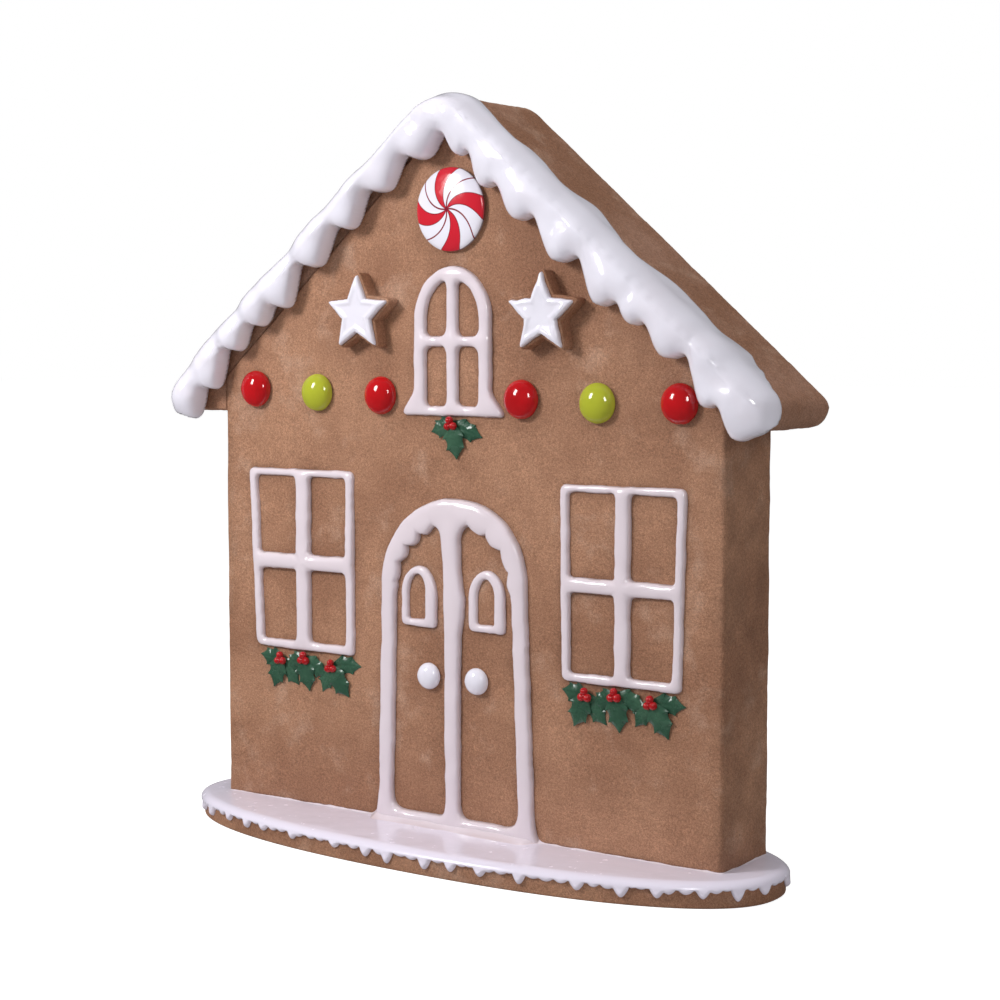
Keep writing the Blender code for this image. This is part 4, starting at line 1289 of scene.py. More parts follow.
def snow_shape():
    """Snow over the board: under it, round its side to the drips, up over the rim, and in.

    The skirt's thickness is a quarter circle of the distance from the drip edge, and each
    long drip has a bulge that fades as a bell curve from its middle.
    """
    points, normals, at, length = oval_round(1350)
    line, longs = drip_edge(length, BASE_HIGH.z - 0.0006)
    lowest = np.interp(at, line[:, 0], line[:, 1])
    under = BASE_HIGH.z + SNOW_GAP
    lip = SNOW_HIGH.x - BASE_HIGH.x
    rim_low = FOOT - SNOW_RIM_TALL
    wander = 0.0012 * noise(points[:, 0], points[:, 1], 0.0, 0.06, 61)
    rings = [
        ring_at(points, normals, 0.0, under, 0.4),
        ring_at(points, normals, SNOW_GAP, under),
        ring_at(points, normals, SNOW_GAP, 0.5 * (under + lowest)),
    ]
    near = np.abs((at[:, None] - longs[None] + length / 2.0) % length - length / 2.0).min(1)
    for share in np.linspace(0.0, 1.0, 20) ** 1.5:
        height = lowest + share * (rim_low - lowest)
        inward = edge_distance(at, height, line, 12)
        part = np.clip(inward / SKIRT_FADE, 0.0, 1.0)
        bulge = np.exp(-((near / 0.008) ** 2) - ((height - lowest - 0.005) / 0.006) ** 2)
        out = (lip + wander) * np.sqrt(part * (2.0 - part)) + DRIP_BULGE * bulge * part
        rings.append(ring_at(points, normals, SNOW_GAP + out, height))
    for bend in np.radians(np.linspace(0.0, 90.0, 12))[1:]:
        out = lip + wander - SNOW_RIM_DEEP * (1.0 - math.cos(bend))
        height = rim_low + (FOOT - rim_low) * math.sin(bend)
        rings.append(ring_at(points, normals, SNOW_GAP + out, height))
    inner = points + normals * (lip + wander - SNOW_RIM_DEEP)[:, None]
    for scale in SNOW_RINGS:
        x, y = inner[:, 0] * scale, inner[:, 1] * scale
        height = FOOT + 0.0006 * noise(x, y, 0.0, 0.09, 62) + 0.0003 * noise(x, y, 0.0, 0.03, 63)
        rings.append(np.stack([x, y, height], axis=1))
    return ringed(np.stack(rings))


# The fillet at the wall's foot, how far it starts inside the wall, and what the apron adds
FILLET_WIDE, FILLET_TALL, FILLET_IN_WALL = 0.0052, 0.0046, 0.002
APRON_WIDE, APRON_TALL = 0.031, 0.0125


def foot_icing_shape(step):
    """A concave fillet of icing round the wall's foot, which spreads into an apron at the door.

    Out from the wall by t of its width, its height is (1 - t)^2 of its full height.
    """
    plan, away = wall_plan(step)
    x, y = plan.T
    door = ease((DOOR_HIGH.x + 0.016 - np.abs(x)) / 0.022) * (away[:, 1] < -0.9)
    door = 0.5 * door + 0.25 * (np.roll(door, 2) + np.roll(door, -2))
    wide = FILLET_WIDE + 0.0016 * noise(x, y, 0.0, 0.02, 64) + APRON_WIDE * door
    tall = FILLET_TALL + 0.0016 * noise(x, y, 0.0, 0.013, 65) + APRON_TALL * door
    share = np.linspace(0.0, 1.0, 12)
    out = np.concatenate([share, [1.0, 0.0]])
    rise = np.concatenate([(1.0 - share) ** 2.0, [0.0, 0.0]])
    drop = np.concatenate([np.full(12, -0.0004), [-0.0035, -0.0035]])
    reach = out[None] * wide[:, None] - FILLET_IN_WALL
    rings = np.stack([
        x[:, None] + away[:, :1] * reach, y[:, None] + away[:, 1:] * reach,
        FOOT + rise[None] * tall[:, None] + drop[None],
    ], axis=-1)
    index = np.arange(rings.shape[0] * rings.shape[1]).reshape(rings.shape[:2])
    after = np.roll(index, -1, axis=1)
    quads = np.stack([
        after, np.roll(after, -1, axis=0), np.roll(index, -1, axis=0), index,
    ], axis=-1)
    return rings.reshape(-1, 3), [quads.reshape(-1, 4)]


# ---------------------------------------------------------------------------
# Sweets, cookies and holly
# ---------------------------------------------------------------------------

# How far a sweet's side draws in at the wall, and over what angle
TUCK, TUCK_TURN = 0.30, 1.1


def dome_shape(box, power, seed, fullness=0.16, rough=0.01):
    """A round sweet on the wall, from its node's box: tucked in at the wall, domed in front.

    Round the dome the radius is R cos(a)^(2/p) and the depth D sin(a)^(2/p). Its widest belt
    is at fullness times its depth, and rough is the share by which its outline is uneven.
    """
    low, high = box
    middle_x, middle_z = (low.x + high.x) / 2.0, (low.z + high.z) / 2.0
    radius, depth = (high.x - low.x) / 2.0, WALL_FACE - low.y
    belt = fullness * depth
    tuck = np.linspace(-TUCK_TURN, 0.0, 7)[:-1]
    dome = np.linspace(0.0, np.pi / 2.0, 30)[:-1]
    reach = np.concatenate([1.0 - TUCK * (1.0 - np.cos(tuck)), np.cos(dome) ** (2.0 / power)])
    out = np.concatenate([
        belt * (1.0 + np.sin(tuck) / math.sin(TUCK_TURN)) - 0.0012 * (tuck < -1.0),
        belt + (depth - belt) * np.sin(dome) ** (2.0 / power),
    ])
    turn = np.linspace(0.0, 2.0 * np.pi, 97)[:-1]
    c, s = np.cos(turn)[None], np.sin(turn)[None]
    uneven = 1.0 + rough * noise(2.0 * c, 2.0 * s, 3.0 * out[:, None] / depth, 0.9, seed)
    x = middle_x + radius * reach[:, None] * c * uneven
    z = middle_z + radius * reach[:, None] * s * uneven
    y = np.broadcast_to(WALL_FACE - out[:, None], x.shape)
    return ringed(np.stack([x, y, z], axis=-1))


# The cookie under a star: tip radius, waist, and the rounding of its tips and of its front edge
COOKIE_RADIUS, COOKIE_WAIST, COOKIE_TIP, COOKIE_EDGE = 0.0735, 0.49, 0.012, 0.0035
COOKIE_POINTS, HALVINGS = 300, 24


def star_cookie_shape(side):
    """The cookie under a star: its outline from the wall out, a rounded edge, and a flat face.

    The outline is found in each direction by halving the gap between inside and outside.
    """
    middle = star_place(side)
    depth = WALL_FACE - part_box(f"star_cookie_{side}")[0].y
    turn = np.linspace(0.0, 2.0 * np.pi, COOKIE_POINTS + 1)[:-1]
    near, far = np.zeros(COOKIE_POINTS), np.full(COOKIE_POINTS, 0.1)
    for _ in range(HALVINGS):
        half = (near + far) / 2.0
        inside = in_star(
            half * np.cos(turn), half * np.sin(turn), COOKIE_RADIUS, COOKIE_WAIST, COOKIE_TIP
        ) > 0.0
        near, far = np.where(inside, half, near), np.where(inside, far, half)
    straight = np.concatenate([[-0.001], np.linspace(0.0, depth - COOKIE_EDGE, 12)])
    rings = [(near, level) for level in straight]
    for bend in np.radians(np.linspace(0.0, 90.0, 6))[1:]:
        rings.append((near - COOKIE_EDGE * (1.0 - math.cos(bend)),
                      depth - COOKIE_EDGE + COOKIE_EDGE * math.sin(bend)))
    for scale in np.linspace(1.0, 0.04, 18)[1:]:
        rings.append(((near - COOKIE_EDGE) * scale, depth))
    reach = np.stack([ring for ring, _ in rings])
    out = np.stack([np.full(COOKIE_POINTS, level) for _, level in rings])
    x, z = middle[0] + reach * np.cos(turn), middle[1] + reach * np.sin(turn)
    y = WALL_FACE - out
    rough = 0.0005 * noise(x, y, z, 0.005, 71) + 0.0005 * noise(x, y, z, 0.015, 72)
    x, z = x + rough * np.cos(turn), z + rough * np.sin(turn)
    # Painted shade where the cookie's side meets the wall; the cookie's front face is also a little
    # darker
    shade = np.where(out > depth - 0.0001, 0.25, 0.0) + 0.4 * np.exp(-np.maximum(out, 0.0) / 0.004)
    return ringed(np.stack([x, y, z], axis=-1)), np.concatenate([shade.ravel(), [0.0, 0.2]])


# Each sprig: its window, its berries from the middle of that window's foot, and its leaf tips
# from the berries
SPRIGS = {
    "holly_left_1": ("left_window", (-0.0448, -0.0169),
                     ((-0.0489, 0.0034), (-0.0189, -0.0502), (0.0358, -0.0428))),
    "holly_left_2": ("left_window", (0.0071, -0.0128),
                     ((-0.0425, -0.0175), (0.0088, -0.0547), (0.0447, -0.0263))),
    "holly_left_3": ("left_window", (0.0673, -0.0203),
                     ((-0.0234, -0.0455), (0.0344, -0.0490), (0.0603, 0.0040))),
    "holly_right_1": ("right_window", (-0.0638, -0.0170),
                      ((-0.0449, 0.0044), (-0.0226, -0.0508), (0.0358, -0.0435))),
    "holly_right_2": ("right_window", (-0.0107, -0.0123),
                      ((-0.0425, -0.0175), (0.0067, -0.0571), (0.0537, -0.0167))),
    "holly_right_3": ("right_window", (0.0530, -0.0178),
                      ((-0.0295, -0.0391), (0.0287, -0.0519), (0.0574, -0.0013))),
    "holly_upper": ("upper_window", (-0.0006, -0.0120),
                    ((-0.0419, -0.0131), (0.0085, -0.0559), (0.0574, -0.0202))),
}
# A side leaf's width, as a share of the front leaf's
SIDE_LEAF = 0.84
# A leaf's edge, as shares of its length and half width: its spines, and the dips between them
LEAF_EDGE = ((0.0, 0.34), (0.34, 1.0), (0.66, 0.86), (1.0, 0.05))
LEAF_DIPS = (0.05, 0.19, 0.10)
# Its gap between layers and off the wall, the rise of its face, and its veins: how deep the
# midrib and the side veins are, the midrib's width, and how many side veins there are
LEAF_LAYER, LEAF_OFF_WALL, LEAF_RISE = 0.0026, 0.0006, 0.0036
MIDRIB_DEEP, MIDRIB_WIDE, VEIN_DEEP, VEINS = 0.0010, 0.0011, 0.0005, 6.0
# How far its spines lift, and how far they lean and how wide they are, as shares of its length
SPINE_LIFT, SPINE_LEAN, SPINE_WIDE = 0.0020, 0.05, 0.035


def leaf_shape(root, tip, half_width, layer, seed):
    """A holly leaf from root to tip, as a lens-shaped section carried along its midrib.

    Between its spines the half width is the chord less a share of sin(pi t). Over the
    section, with v from -1 to 1, the face rises as 1 - v^2, dips along the midrib and the
    side veins, and lifts at the spines.
    """
    root, tip = np.array(root), np.array(tip)
    length = np.linalg.norm(tip - root)
    along = (tip - root) / length
    across = np.array((-along[1], along[0]))
    u = np.linspace(0.0, 1.0, 73)
    places, widths = np.array(LEAF_EDGE).T
    at = np.clip(np.searchsorted(places, u) - 1, 0, len(places) - 2)
    part = (u - places[at]) / (places[at + 1] - places[at])
    chord = widths[at] + (widths[at + 1] - widths[at]) * part
    dip = np.array(LEAF_DIPS)[at] * np.sin(np.pi * part) ** 0.8
    width = half_width * np.maximum(chord - dip, 0.02)
    to_spine = np.minimum(np.abs(u - places[1]), np.abs(u - places[2]))
    spine = np.exp(-(to_spine / SPINE_WIDE) ** 2)
    v = np.cos(np.linspace(0.0, np.pi, 21))[None]
    vein = np.abs(((u[:, None] * VEINS - np.abs(v) * 1.1) % 1.0) - 0.5)
    bend = 0.0022 * lattice(seed, 2, 3, 4)
    base = layer * LEAF_LAYER * (1.0 - 0.75 * ease(u))[:, None] + LEAF_OFF_WALL
    midrib = np.exp(-((v * width[:, None] / MIDRIB_WIDE) ** 2)) * (1.0 - u[:, None] ** 4)
    face = LEAF_RISE * (1.0 - v * v) * np.sin(np.pi * (0.12 + 0.80 * u))[:, None]
    face = face - MIDRIB_DEEP * midrib - VEIN_DEEP * ease(1.0 - 6.0 * vein) * (1.0 - v ** 4)
    lift = SPINE_LIFT * np.abs(v) ** 3 * spine[:, None] + 0.0008
    front = base + face + lift
    back = base - 0.0004 + 0.6 * lift * np.abs(v) ** 2
    lean = (SPINE_LEAN * length * spine)[:, None] * np.abs(v) ** 3
    sway = (bend * np.sin(np.pi * u))[:, None]
    side = np.concatenate([v, v[:, -2:0:-1]], axis=1) * width[:, None] + sway
    lean = np.concatenate([lean, lean[:, -2:0:-1]], axis=1)
    out = np.concatenate([front, np.minimum(back, front)[:, -2:0:-1]], axis=1)
    run = (u * length)[:, None] + lean
    flat = root + run[..., None] * along + side[..., None] * across
    return ringed(np.stack([flat[..., 0], WALL_FACE - out, flat[..., 1]], axis=-1))


# How far each berry's middle is from the cluster's, and the cluster's from the wall
BERRY_APART, BERRIES_OUT = 0.0063, 0.0088


def berries_shape(x, z, radius, seed):
    """Three berries grown together: from their middle, the furthest reach into any ball."""
    turn = np.linspace(0.0, 2.0 * np.pi, 121)[:-1][None]
    fall = np.linspace(0.0, np.pi, 62)[1:-1][:, None]
    ray = np.stack(np.broadcast_arrays(
        np.sin(fall) * np.cos(turn), np.cos(fall), np.sin(fall) * np.sin(turn)
    ), axis=-1)
    reach = np.full(ray.shape[:2], 0.0035)
    for number in range(3):
        angle = math.radians(92.0 + 120.0 * number + 6.0 * lattice(seed, number, 1, 2))
        size = radius * (1.0 + 0.07 * lattice(seed, number, 5, 2))
        spot = BERRY_APART * np.array((math.cos(angle), -0.10 * (number == 0), math.sin(angle)))
        toward = ray @ spot
        apart = spot @ spot - toward ** 2
        ball = toward + np.sqrt(np.maximum(size ** 2 - apart, 0.0))
        reach = smooth_max(reach, np.where(apart < size ** 2, ball, 0.0), 0.0009)
    reach = reach * (1.0 + 0.03 * noise(*np.moveaxis(ray, -1, 0), 0.7, seed))
    points = ray * reach[..., None]
    points[..., 1] = np.minimum(points[..., 1], 0.006)
    return ringed(points + (x, WALL_FACE - BERRIES_OUT, z))


# ---------------------------------------------------------------------------
# The stage
# ---------------------------------------------------------------------------

# What the softboxes point at, and each one: its direction in degrees right of the front and
# degrees up, its distance, its size, and the setting and the share of it that give its power
AIM = Vector((0.0, 0.0, 0.65))
SOFTBOXES = {
    "key": ((-31.0, 28.0), 2.6, (0.6, 0.6), "key", 1.0),
    "fill": ((60.0, 18.0), 3.6, (1.2, 1.2), "fill", 1.0),
    "overhead": ((-5.0, 72.0), 3.2, (2.0, 2.0), "overhead", 1.0),
    "rear": ((168.0, 35.0), 3.2, (1.6, 1.6), "rear", 1.0),
    "glint_left": ((-34.0, 24.0), 3.6, (0.6, 1.1), "glint", 0.5),
    "glint_right": ((37.0, 20.0), 2.8, (0.4, 0.75), "glint", 0.2),
}
FLOOR_HALF = 30.0
# The camera: its direction in degrees right of the front and degrees up, and its place
CAMERA_DIRECTION = (35.46, 4.51)
CAMERA_PLACE = (1.91982, -2.62003, 0.82222)


def direction_from(degrees_right, degrees_up):
    """The unit vector that points this far to the right of the front, and this far up."""
    turn, rise = math.radians(degrees_right), math.radians(degrees_up)
    return Vector((math.sin(turn) * math.cos(rise), -math.cos(turn) * math.cos(rise),
                   math.sin(rise)))


def add_softbox(name, direction, away, size, power, glint):
    """A rectangular area light this far away, facing the house.

    A glint is seen only in shiny surfaces and lights nothing else.
    """
    way = direction_from(*direction)
    light = bpy.data.lights.new(name, "AREA")
    light.shape = "RECTANGLE"
    light.size, light.size_y = size
    light.energy = power
    made = bpy.data.objects.new(name, light)
    made.location = AIM + away * way
    made.rotation_euler = way.to_track_quat("Z", "Y").to_euler()
    made.visible_diffuse = not glint
    made.visible_glossy = glint
    bpy.context.scene.collection.objects.link(made)


def add_floor(stage):
    """The floor: a matt square, which glows in the camera's view so that it shows plain white."""
    made, tree, shader, where = start_material("Studio Floor")
    effect = use_group(tree, glaze_group(), {
        "Vector": where, "Body": opaque(stage.floor), "Tint": opaque(stage.floor),
        "Sheen": 0.6, "Matt": 0.7,
    })
    finish_material(tree, shader, effect, bump=0.0002, strength=0.2)
    shader.inputs["Emission Color"].default_value = (1.0, 1.0, 1.0, 1.0)
    direct = add_node(tree, "ShaderNodeLightPath").outputs["Is Camera Ray"]
    glow = math_node(tree, "MULTIPLY", direct, stage.glow)
    tree.links.new(glow, shader.inputs["Emission Strength"])
    mesh = bpy.data.meshes.new("floor")
    signs = [(-1.0, -1.0), (1.0, -1.0), (1.0, 1.0), (-1.0, 1.0)]
    corners = [(FLOOR_HALF * x, FLOOR_HALF * y, 0.0) for x, y in signs]
    mesh.from_pydata(corners, [], [(0, 1, 2, 3)])
    mesh.materials.append(made)
    floor = bpy.data.objects.new("floor", mesh)
    bpy.context.scene.collection.objects.link(floor)
    floor.visible_glossy = False


def add_surroundings(stage):
    """Even white light from all round: full strength in view, less on surfaces and in gloss."""
    world = bpy.data.worlds.new("Surroundings")
    world.use_nodes = True
    bpy.context.scene.world = world
    sky = world.node_tree
    path = add_node(sky, "ShaderNodeLightPath").outputs
    seen = math_node(sky, "MULTIPLY", path["Is Camera Ray"], 1.0 - stage.ambient)
    strength = math_node(sky, "ADD", seen, stage.ambient)
    dimmed = math_node(sky, "MULTIPLY", path["Is Glossy Ray"], stage.ambient - stage.mirrored)
    strength = math_node(sky, "SUBTRACT", strength, dimmed)
    background = sky.nodes["Background"]
    background.inputs["Color"].default_value = (1.0, 1.0, 1.0, 1.0)
    sky.links.new(strength, background.inputs["Strength"])
    bpy.context.scene.view_settings.view_transform = "Standard"


def add_camera(stage):
    """The camera, level from side to side, looking along its direction from its place."""
    lens = bpy.data.cameras.new("camera")
    lens.lens = stage.lens
    camera = bpy.data.objects.new("camera", lens)
    back = direction_from(*CAMERA_DIRECTION)
    azimuth = math.radians(CAMERA_DIRECTION[0])
    right = Vector((math.cos(azimuth), math.sin(azimuth), 0.0))
    turn = Matrix((right, back.cross(right), back)).transposed()
    camera.matrix_world = Matrix.Translation(CAMERA_PLACE) @ turn.to_4x4()
    bpy.context.scene.collection.objects.link(camera)
    bpy.context.scene.camera = camera


# ---------------------------------------------------------------------------
# What a user may change
# ---------------------------------------------------------------------------

def colour_setting(name, text, value):
    """A colour that a user may change."""
    return FloatVectorProperty(
        name=name, description=text, default=value, size=3, min=0.0, max=1.0, subtype="COLOR"
    )


def length_setting(name, text, value, low, high):
    """A length in metres that a user may change."""
    return FloatProperty(
        name=name, description=text, default=value, min=low, max=high, unit="LENGTH",
        subtype="DISTANCE", precision=4,
    )


def power_setting(name, text, value):
    """A light's power in watts that a user may change."""
    return FloatProperty(name=name, description=text, default=value, min=0.0, unit="POWER")


def share_setting(name, text, value):
    """A strength from 0 to 2 that a user may change."""
    return FloatProperty(name=name, description=text, default=value, min=0.0, max=2.0)


class DoughSettings(PropertyGroup):
    """Colours of the baked parts, and how finely they are modelled."""

    body: colour_setting("Body", "Main colour of the gingerbread", (0.440, 0.228, 0.135))
    dark: colour_setting("Dark", "Darker mottling of the gingerbread", (0.315, 0.150, 0.085))
    pale: colour_setting("Pale", "Pale dusty patches and specks", (0.55, 0.350, 0.250))
    roof: colour_setting("Roof", "Main colour of the roof", (0.43, 0.235, 0.160))
    detail: length_setting("Detail", "Spacing of the wall's and roof's points", 0.0056, 0.002, 0.02)


class IcingSettings(PropertyGroup):
    """Colours and thickness of the white icing."""

    body: colour_setting("Icing", "Main colour of the icing", (0.85, 0.825, 0.92))
    tint: colour_setting("Icing Tint", "Second tone of the icing", (0.835, 0.80, 0.89))
    frame: colour_setting("Frames", "Colour of the icing on the wall", (0.78, 0.685, 0.74))
    snow: colour_setting("Snow", "Colour of the icing on the board", (0.84, 0.785, 0.91))
    thickness: length_setting("Thickness", "Fullness of the roof's icing", 0.037, 0.01, 0.06)
    detail: length_setting("Detail", "Spacing of the roof icing's points", 0.0023, 0.001, 0.01)


class SweetSettings(PropertyGroup):
    """Colours of the buttons, the peppermint and the knobs."""

    red: colour_setting("Red", "Red buttons", (0.53, 0.005, 0.009))
    lime: colour_setting("Lime", "Lime buttons", (0.44, 0.47, 0.034))
    stripe: colour_setting("Stripe", "Wide arms of the peppermint", (0.62, 0.018, 0.035))
    line: colour_setting("Line", "Dark edges and thin lines of the mint", (0.22, 0.006, 0.022))


class HollySettings(PropertyGroup):
    """Colours and size of the holly."""

    leaf: colour_setting("Leaf", "Main colour of the leaves", (0.028, 0.085, 0.050))
    leaf_tint: colour_setting("Leaf Tint", "Second tone of the leaves", (0.050, 0.125, 0.075))
    berry: colour_setting("Berry", "Colour of the berries", (0.46, 0.008, 0.012))
    berry_radius: length_setting("Berry Radius", "Radius of one berry", 0.0063, 0.002, 0.02)
    leaf_half_width: length_setting("Leaf Width", "Half width of a front leaf", 0.0212, 0.005, 0.04)


class StageSettings(PropertyGroup):
    """The floor, the lights and the camera."""

    floor: colour_setting("Floor", "Colour of the floor", (0.62, 0.62, 0.62))
    glow: share_setting("Floor Glow", "Added brightness of the floor in the camera's view", 0.85)
    key: power_setting("Key", "Power of the main softbox, from the left", 44.0)
    fill: power_setting("Fill", "Power of the softbox on the right", 17.0)
    overhead: power_setting("Overhead", "Power of the softbox above", 35.0)
    rear: power_setting("Rear", "Power of the softbox behind", 16.0)
    glint: power_setting("Glint", "Power of the light seen only in shiny surfaces", 90.0)
    ambient: share_setting("Ambient", "Strength of the even light from all round", 0.29)
    mirrored: share_setting("Mirrored", "Strength of that light in shiny surfaces", 0.10)
    lens: FloatProperty(
        name="Lens", description="Focal length of the camera", default=72.864, min=20.0,
        subtype="DISTANCE_CAMERA",
    )


class HouseSettings(PropertyGroup):
    """All settings of the house."""

    dough: PointerProperty(type=DoughSettings)
    icing: PointerProperty(type=IcingSettings)
    sweet: PointerProperty(type=SweetSettings)
    holly: PointerProperty(type=HollySettings)
    stage: PointerProperty(type=StageSettings)


def dough_finish(settings):
    """The gingerbread of the walls, the board and the cookies."""
    dough = settings.dough
    return baked_material("Gingerbread", dough.body, dough.dark, dough.pale)


def icing_finish(settings):
    """The thick white icing of the roof, the stars and the knobs."""
    icing = settings.icing
    return glaze_material(
        "White Icing", icing.body, icing.tint, sheen=0.13, matt=0.18, bump=0.0003, coat=0.5
    )


def frame_finish(settings):
    """The icing of the windows, the door and the wall's foot."""
    icing = settings.icing
    return glaze_material(
        "Frame Icing", icing.frame, icing.frame, sheen=0.15, matt=0.22, bump=0.0004, coat=0.4
    )


def darker(colour, share):
    """The colour times this share."""
    return [share * part for part in colour]


# ---------------------------------------------------------------------------
# Operators
# ---------------------------------------------------------------------------

class GINGERBREAD_OT_base(Operator):
    """Builds the board, the snow that covers it, and the icing round the wall's foot"""

    bl_idname = "gingerbread.base"
    bl_label = "Board and Snow"

    def execute(self, context):
        settings = context.scene.gingerbread
        colour = settings.icing.snow
        snow = glaze_material(
            "Snow Icing", colour, colour, sheen=0.20, matt=0.28, bump=0.0003, coat=0.2
        )
        add_piece("board", board_shape(), dough_finish(settings), ["base"])
        add_piece("snow", snow_shape(), snow, ["base_icing"])
        foot = foot_icing_shape(step=0.003)
        add_piece("foot_icing", foot, frame_finish(settings), [])
        return {"FINISHED"}


class GINGERBREAD_OT_wall(Operator):
    """Builds the wall, with painted shade beside the icing and at its foot"""

    bl_idname = "gingerbread.wall"
    bl_label = "Wall"

    def execute(self, context):
        settings = context.scene.gingerbread
        shape, shade = wall_shape(settings.dough.detail)
        finish = dough_finish(settings)
        add_piece("house_wall", shape, finish, ["wall"], {"shade": shade})
        return {"FINISHED"}


class GINGERBREAD_OT_roof(Operator):
    """Builds the roof's slab"""

    bl_idname = "gingerbread.roof"
    bl_label = "Roof"

    def execute(self, context):
        settings = context.scene.gingerbread
        dough = settings.dough
        finish = baked_material("Roof Gingerbread", dough.roof, dough.dark, dough.pale)
        shape = roof_shape(ROOF_FINER * dough.detail)
        add_piece("roof_slab", shape, finish, ["roof"])
        return {"FINISHED"}


class GINGERBREAD_OT_roof_icing(Operator):
    """Builds the icing that hangs from the roof's front edge"""

    bl_idname = "gingerbread.roof_icing"
    bl_label = "Roof Icing"

    def execute(self, context):
        settings = context.scene.gingerbread
        icing = settings.icing
        shape = roof_icing_shape(icing.thickness, icing.detail)
        add_piece("roof_drips", shape, icing_finish(settings), ["roof_icing"])
        return {"FINISHED"}


class GINGERBREAD_OT_windows(Operator):
    """Builds the icing frames of the two lower windows and of the arched one"""

    bl_idname = "gingerbread.windows"
    bl_label = "Windows"

    def execute(self, context):
        finish = frame_finish(context.scene.gingerbread)
        frames = {
            "left_window": lambda x, z: in_window(x, z, "left"),
            "right_window": lambda x, z: in_window(x, z, "right"),
            "upper_window": in_upper_window,
        }
        for node, distance in frames.items():
            shape = bead_shape(node, distance, step=0.0015)
            add_piece(f"{node}_frame", shape, finish, [node])
        return {"FINISHED"}


class GINGERBREAD_OT_door(Operator):
    """Builds the door's icing frame and its two small windows"""

    bl_idname = "gingerbread.door"
    bl_label = "Door"

    def execute(self, context):
        finish = frame_finish(context.scene.gingerbread)
        shape = bead_shape("door_frame", in_door, step=0.0018)
        add_piece("door_arch", shape, finish, ["door_frame"])
        for side in SIDES:
            node = f"door_window_{side}"
            shape = bead_shape(node, lambda x, z: in_door_window(x, z, side), step=0.0012)
            add_piece(f"{node}_ring", shape, finish, [node])
        return {"FINISHED"}


class GINGERBREAD_OT_stars(Operator):
    """Builds the two star cookies and their icing"""

    bl_idname = "gingerbread.stars"
    bl_label = "Stars"

    def execute(self, context):
        settings = context.scene.gingerbread
        for side in SIDES:
            shape, shade = star_cookie_shape(side)
            cookie = dough_finish(settings)
            add_piece(f"star_{side}_cookie", shape, cookie,
                      [f"star_cookie_{side}"], {"shade": shade})
            icing = star_icing_shape(side)
            add_piece(f"star_{side}_icing", icing, icing_finish(settings),
                      [f"star_icing_{side}"])
        return {"FINISHED"}


class GINGERBREAD_OT_sweets(Operator):
    """Builds the six buttons, the peppermint and the two door knobs"""

    bl_idname = "gingerbread.sweets"
    bl_label = "Sweets"

    def execute(self, context):
        settings = context.scene.gingerbread
        sweet, icing = settings.sweet, settings.icing
        red = glaze_material(
            "Red Sweet", sweet.red, darker(sweet.red, 0.8), sheen=0.10, matt=0.16, coat=0.5
        )
        lime = glaze_material(
            "Lime Sweet", sweet.lime, darker(sweet.lime, 0.85), sheen=0.10, matt=0.16, coat=0.5
        )
        for number in range(1, 7):
            node = f"button_{number}"
            finish, slot = (lime, "lime_sweet") if number in (2, 5) else (red, "red_sweet")
            shape = dome_shape(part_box(node), power=2.0, seed=number)
            add_piece(f"sweet_{number}", shape, finish, [node])
        low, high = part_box("peppermint")
        centre = ((low.x + high.x) / 2.0, (low.z + high.z) / 2.0)
        swirl = swirl_material("Peppermint", centre, (high.x - low.x) / 2.0, sweet.stripe,
                               sweet.line, icing.body)
        mint = dome_shape((low, high), power=2.5, seed=8, fullness=0.30, rough=0.004)
        add_piece("mint", mint, swirl, ["peppermint"])
        for side in SIDES:
            node = f"door_knob_{side}"
            knob = dome_shape(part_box(node), power=2.1, seed=9)
            add_piece(f"knob_{side}", knob, icing_finish(settings), [node])
        return {"FINISHED"}


class GINGERBREAD_OT_holly(Operator):
    """Builds the leaves and the berries of the seven holly sprigs"""

    bl_idname = "gingerbread.holly"
    bl_label = "Holly"

    def execute(self, context):
        holly = context.scene.gingerbread.holly
        green = glaze_material(
            "Holly Leaf", holly.leaf, holly.leaf_tint, sheen=0.22, matt=0.34, coat=0.25
        )
        red = glaze_material(
            "Holly Berry", holly.berry, darker(holly.berry, 0.8), sheen=0.12, matt=0.2, coat=0.4
        )
        for seed, (node, (window, offset, tips)) in enumerate(SPRIGS.items()):
            low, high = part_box(window)
            root = ((low.x + high.x) / 2.0 + offset[0], low.z + offset[1])
            for number, tip in enumerate(tips, start=1):
                in_front = number == 2
                width = holly.leaf_half_width * (1.0 if in_front else SIDE_LEAF)
                layer = 2.0 if in_front else 0.8 if node.endswith("_2") else 0.0
                end = (root[0] + tip[0], root[1] + tip[1])
                shape = leaf_shape(root, end, width, layer, 3 * seed + number)
                leaf = f"{node}_leaf_{number}"
                add_piece(f"{leaf}_glazed", shape, green, [leaf])
            shape = berries_shape(*root, holly.berry_radius, seed)
            add_piece(f"{node}_berries_glazed", shape, red, [f"{node}_berries"])
        return {"FINISHED"}


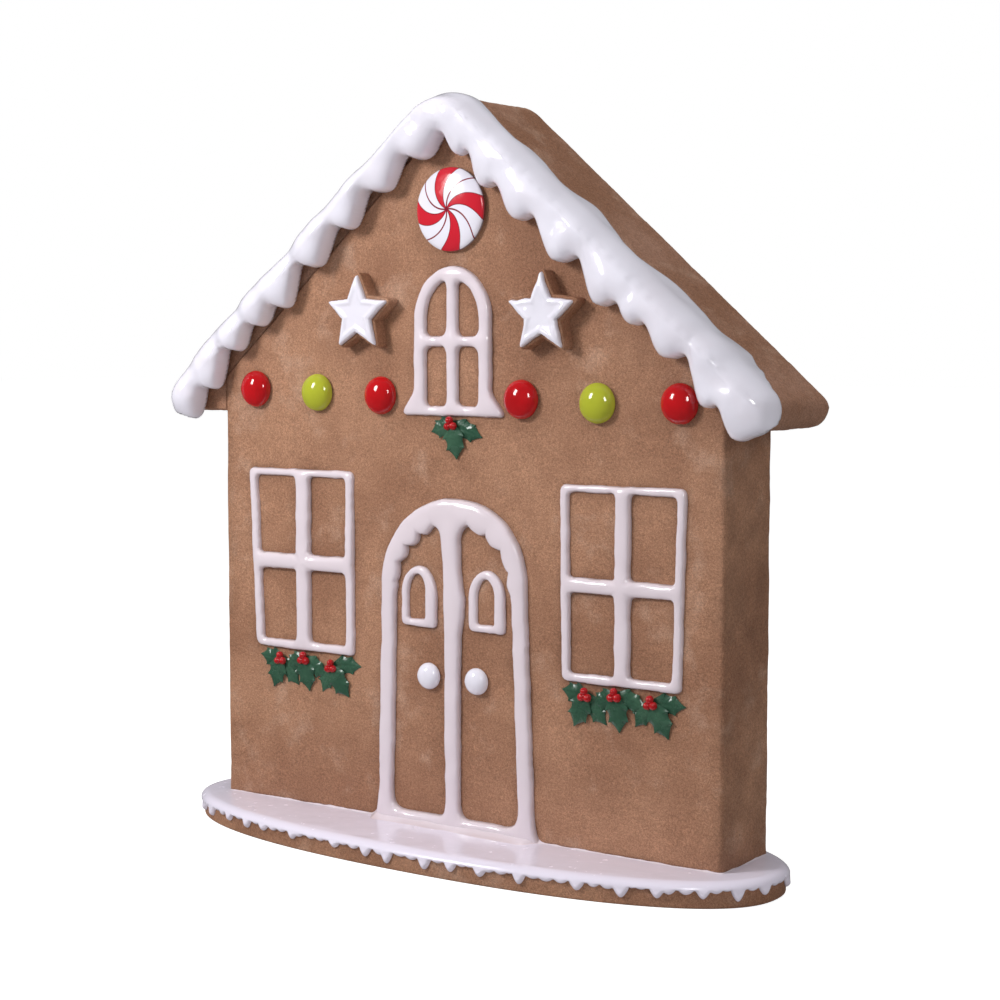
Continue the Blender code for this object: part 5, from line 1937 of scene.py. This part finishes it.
class GINGERBREAD_OT_stage(Operator):
    """Builds the floor, the lights, the even surrounding light and the camera"""

    bl_idname = "gingerbread.stage"
    bl_label = "Stage"

    def execute(self, context):
        stage = context.scene.gingerbread.stage
        add_floor(stage)
        for name, (direction, away, size, setting, share) in SOFTBOXES.items():
            power = share * getattr(stage, setting)
            add_softbox(name, direction, away, size, power, glint=setting == "glint")
        add_surroundings(stage)
        add_camera(stage)
        return {"FINISHED"}


class GINGERBREAD_PT_panel(Panel):
    """Lists the pieces in the order in which they are built"""

    bl_idname = "GINGERBREAD_PT_panel"
    bl_label = "Gingerbread House"
    bl_space_type = "VIEW_3D"
    bl_region_type = "UI"
    bl_category = "Gingerbread House"

    def draw(self, context):
        settings = context.scene.gingerbread
        for key in ("dough", "icing", "sweet", "holly", "stage"):
            box = self.layout.box()
            group = getattr(settings, key)
            for name in group.bl_rna.properties.keys():
                if name not in ("name", "rna_type"):
                    box.prop(group, name)
        for operator in OPERATORS:
            self.layout.operator(operator.bl_idname)


OPERATORS = (
    GINGERBREAD_OT_base, GINGERBREAD_OT_wall, GINGERBREAD_OT_roof, GINGERBREAD_OT_roof_icing,
    GINGERBREAD_OT_windows, GINGERBREAD_OT_door, GINGERBREAD_OT_stars, GINGERBREAD_OT_sweets,
    GINGERBREAD_OT_holly, GINGERBREAD_OT_stage,
)
GROUPS = (
    DoughSettings, IcingSettings, SweetSettings, HollySettings, StageSettings, HouseSettings,
)


def register():
    """Adds the settings, the operators and the panel."""
    for made in (*GROUPS, *OPERATORS, GINGERBREAD_PT_panel):
        bpy.utils.register_class(made)
    bpy.types.Scene.gingerbread = PointerProperty(type=HouseSettings)


def unregister():
    """Takes the settings, the operators and the panel away again."""
    del bpy.types.Scene.gingerbread
    for made in reversed((*GROUPS, *OPERATORS, GINGERBREAD_PT_panel)):
        bpy.utils.unregister_class(made)


def main():
    """Builds every piece and the stage."""
    register()
    for operator in OPERATORS:
        group, name = operator.bl_idname.split(".")
        getattr(getattr(bpy.ops, group), name)()


if __name__ == "__main__":
    main()
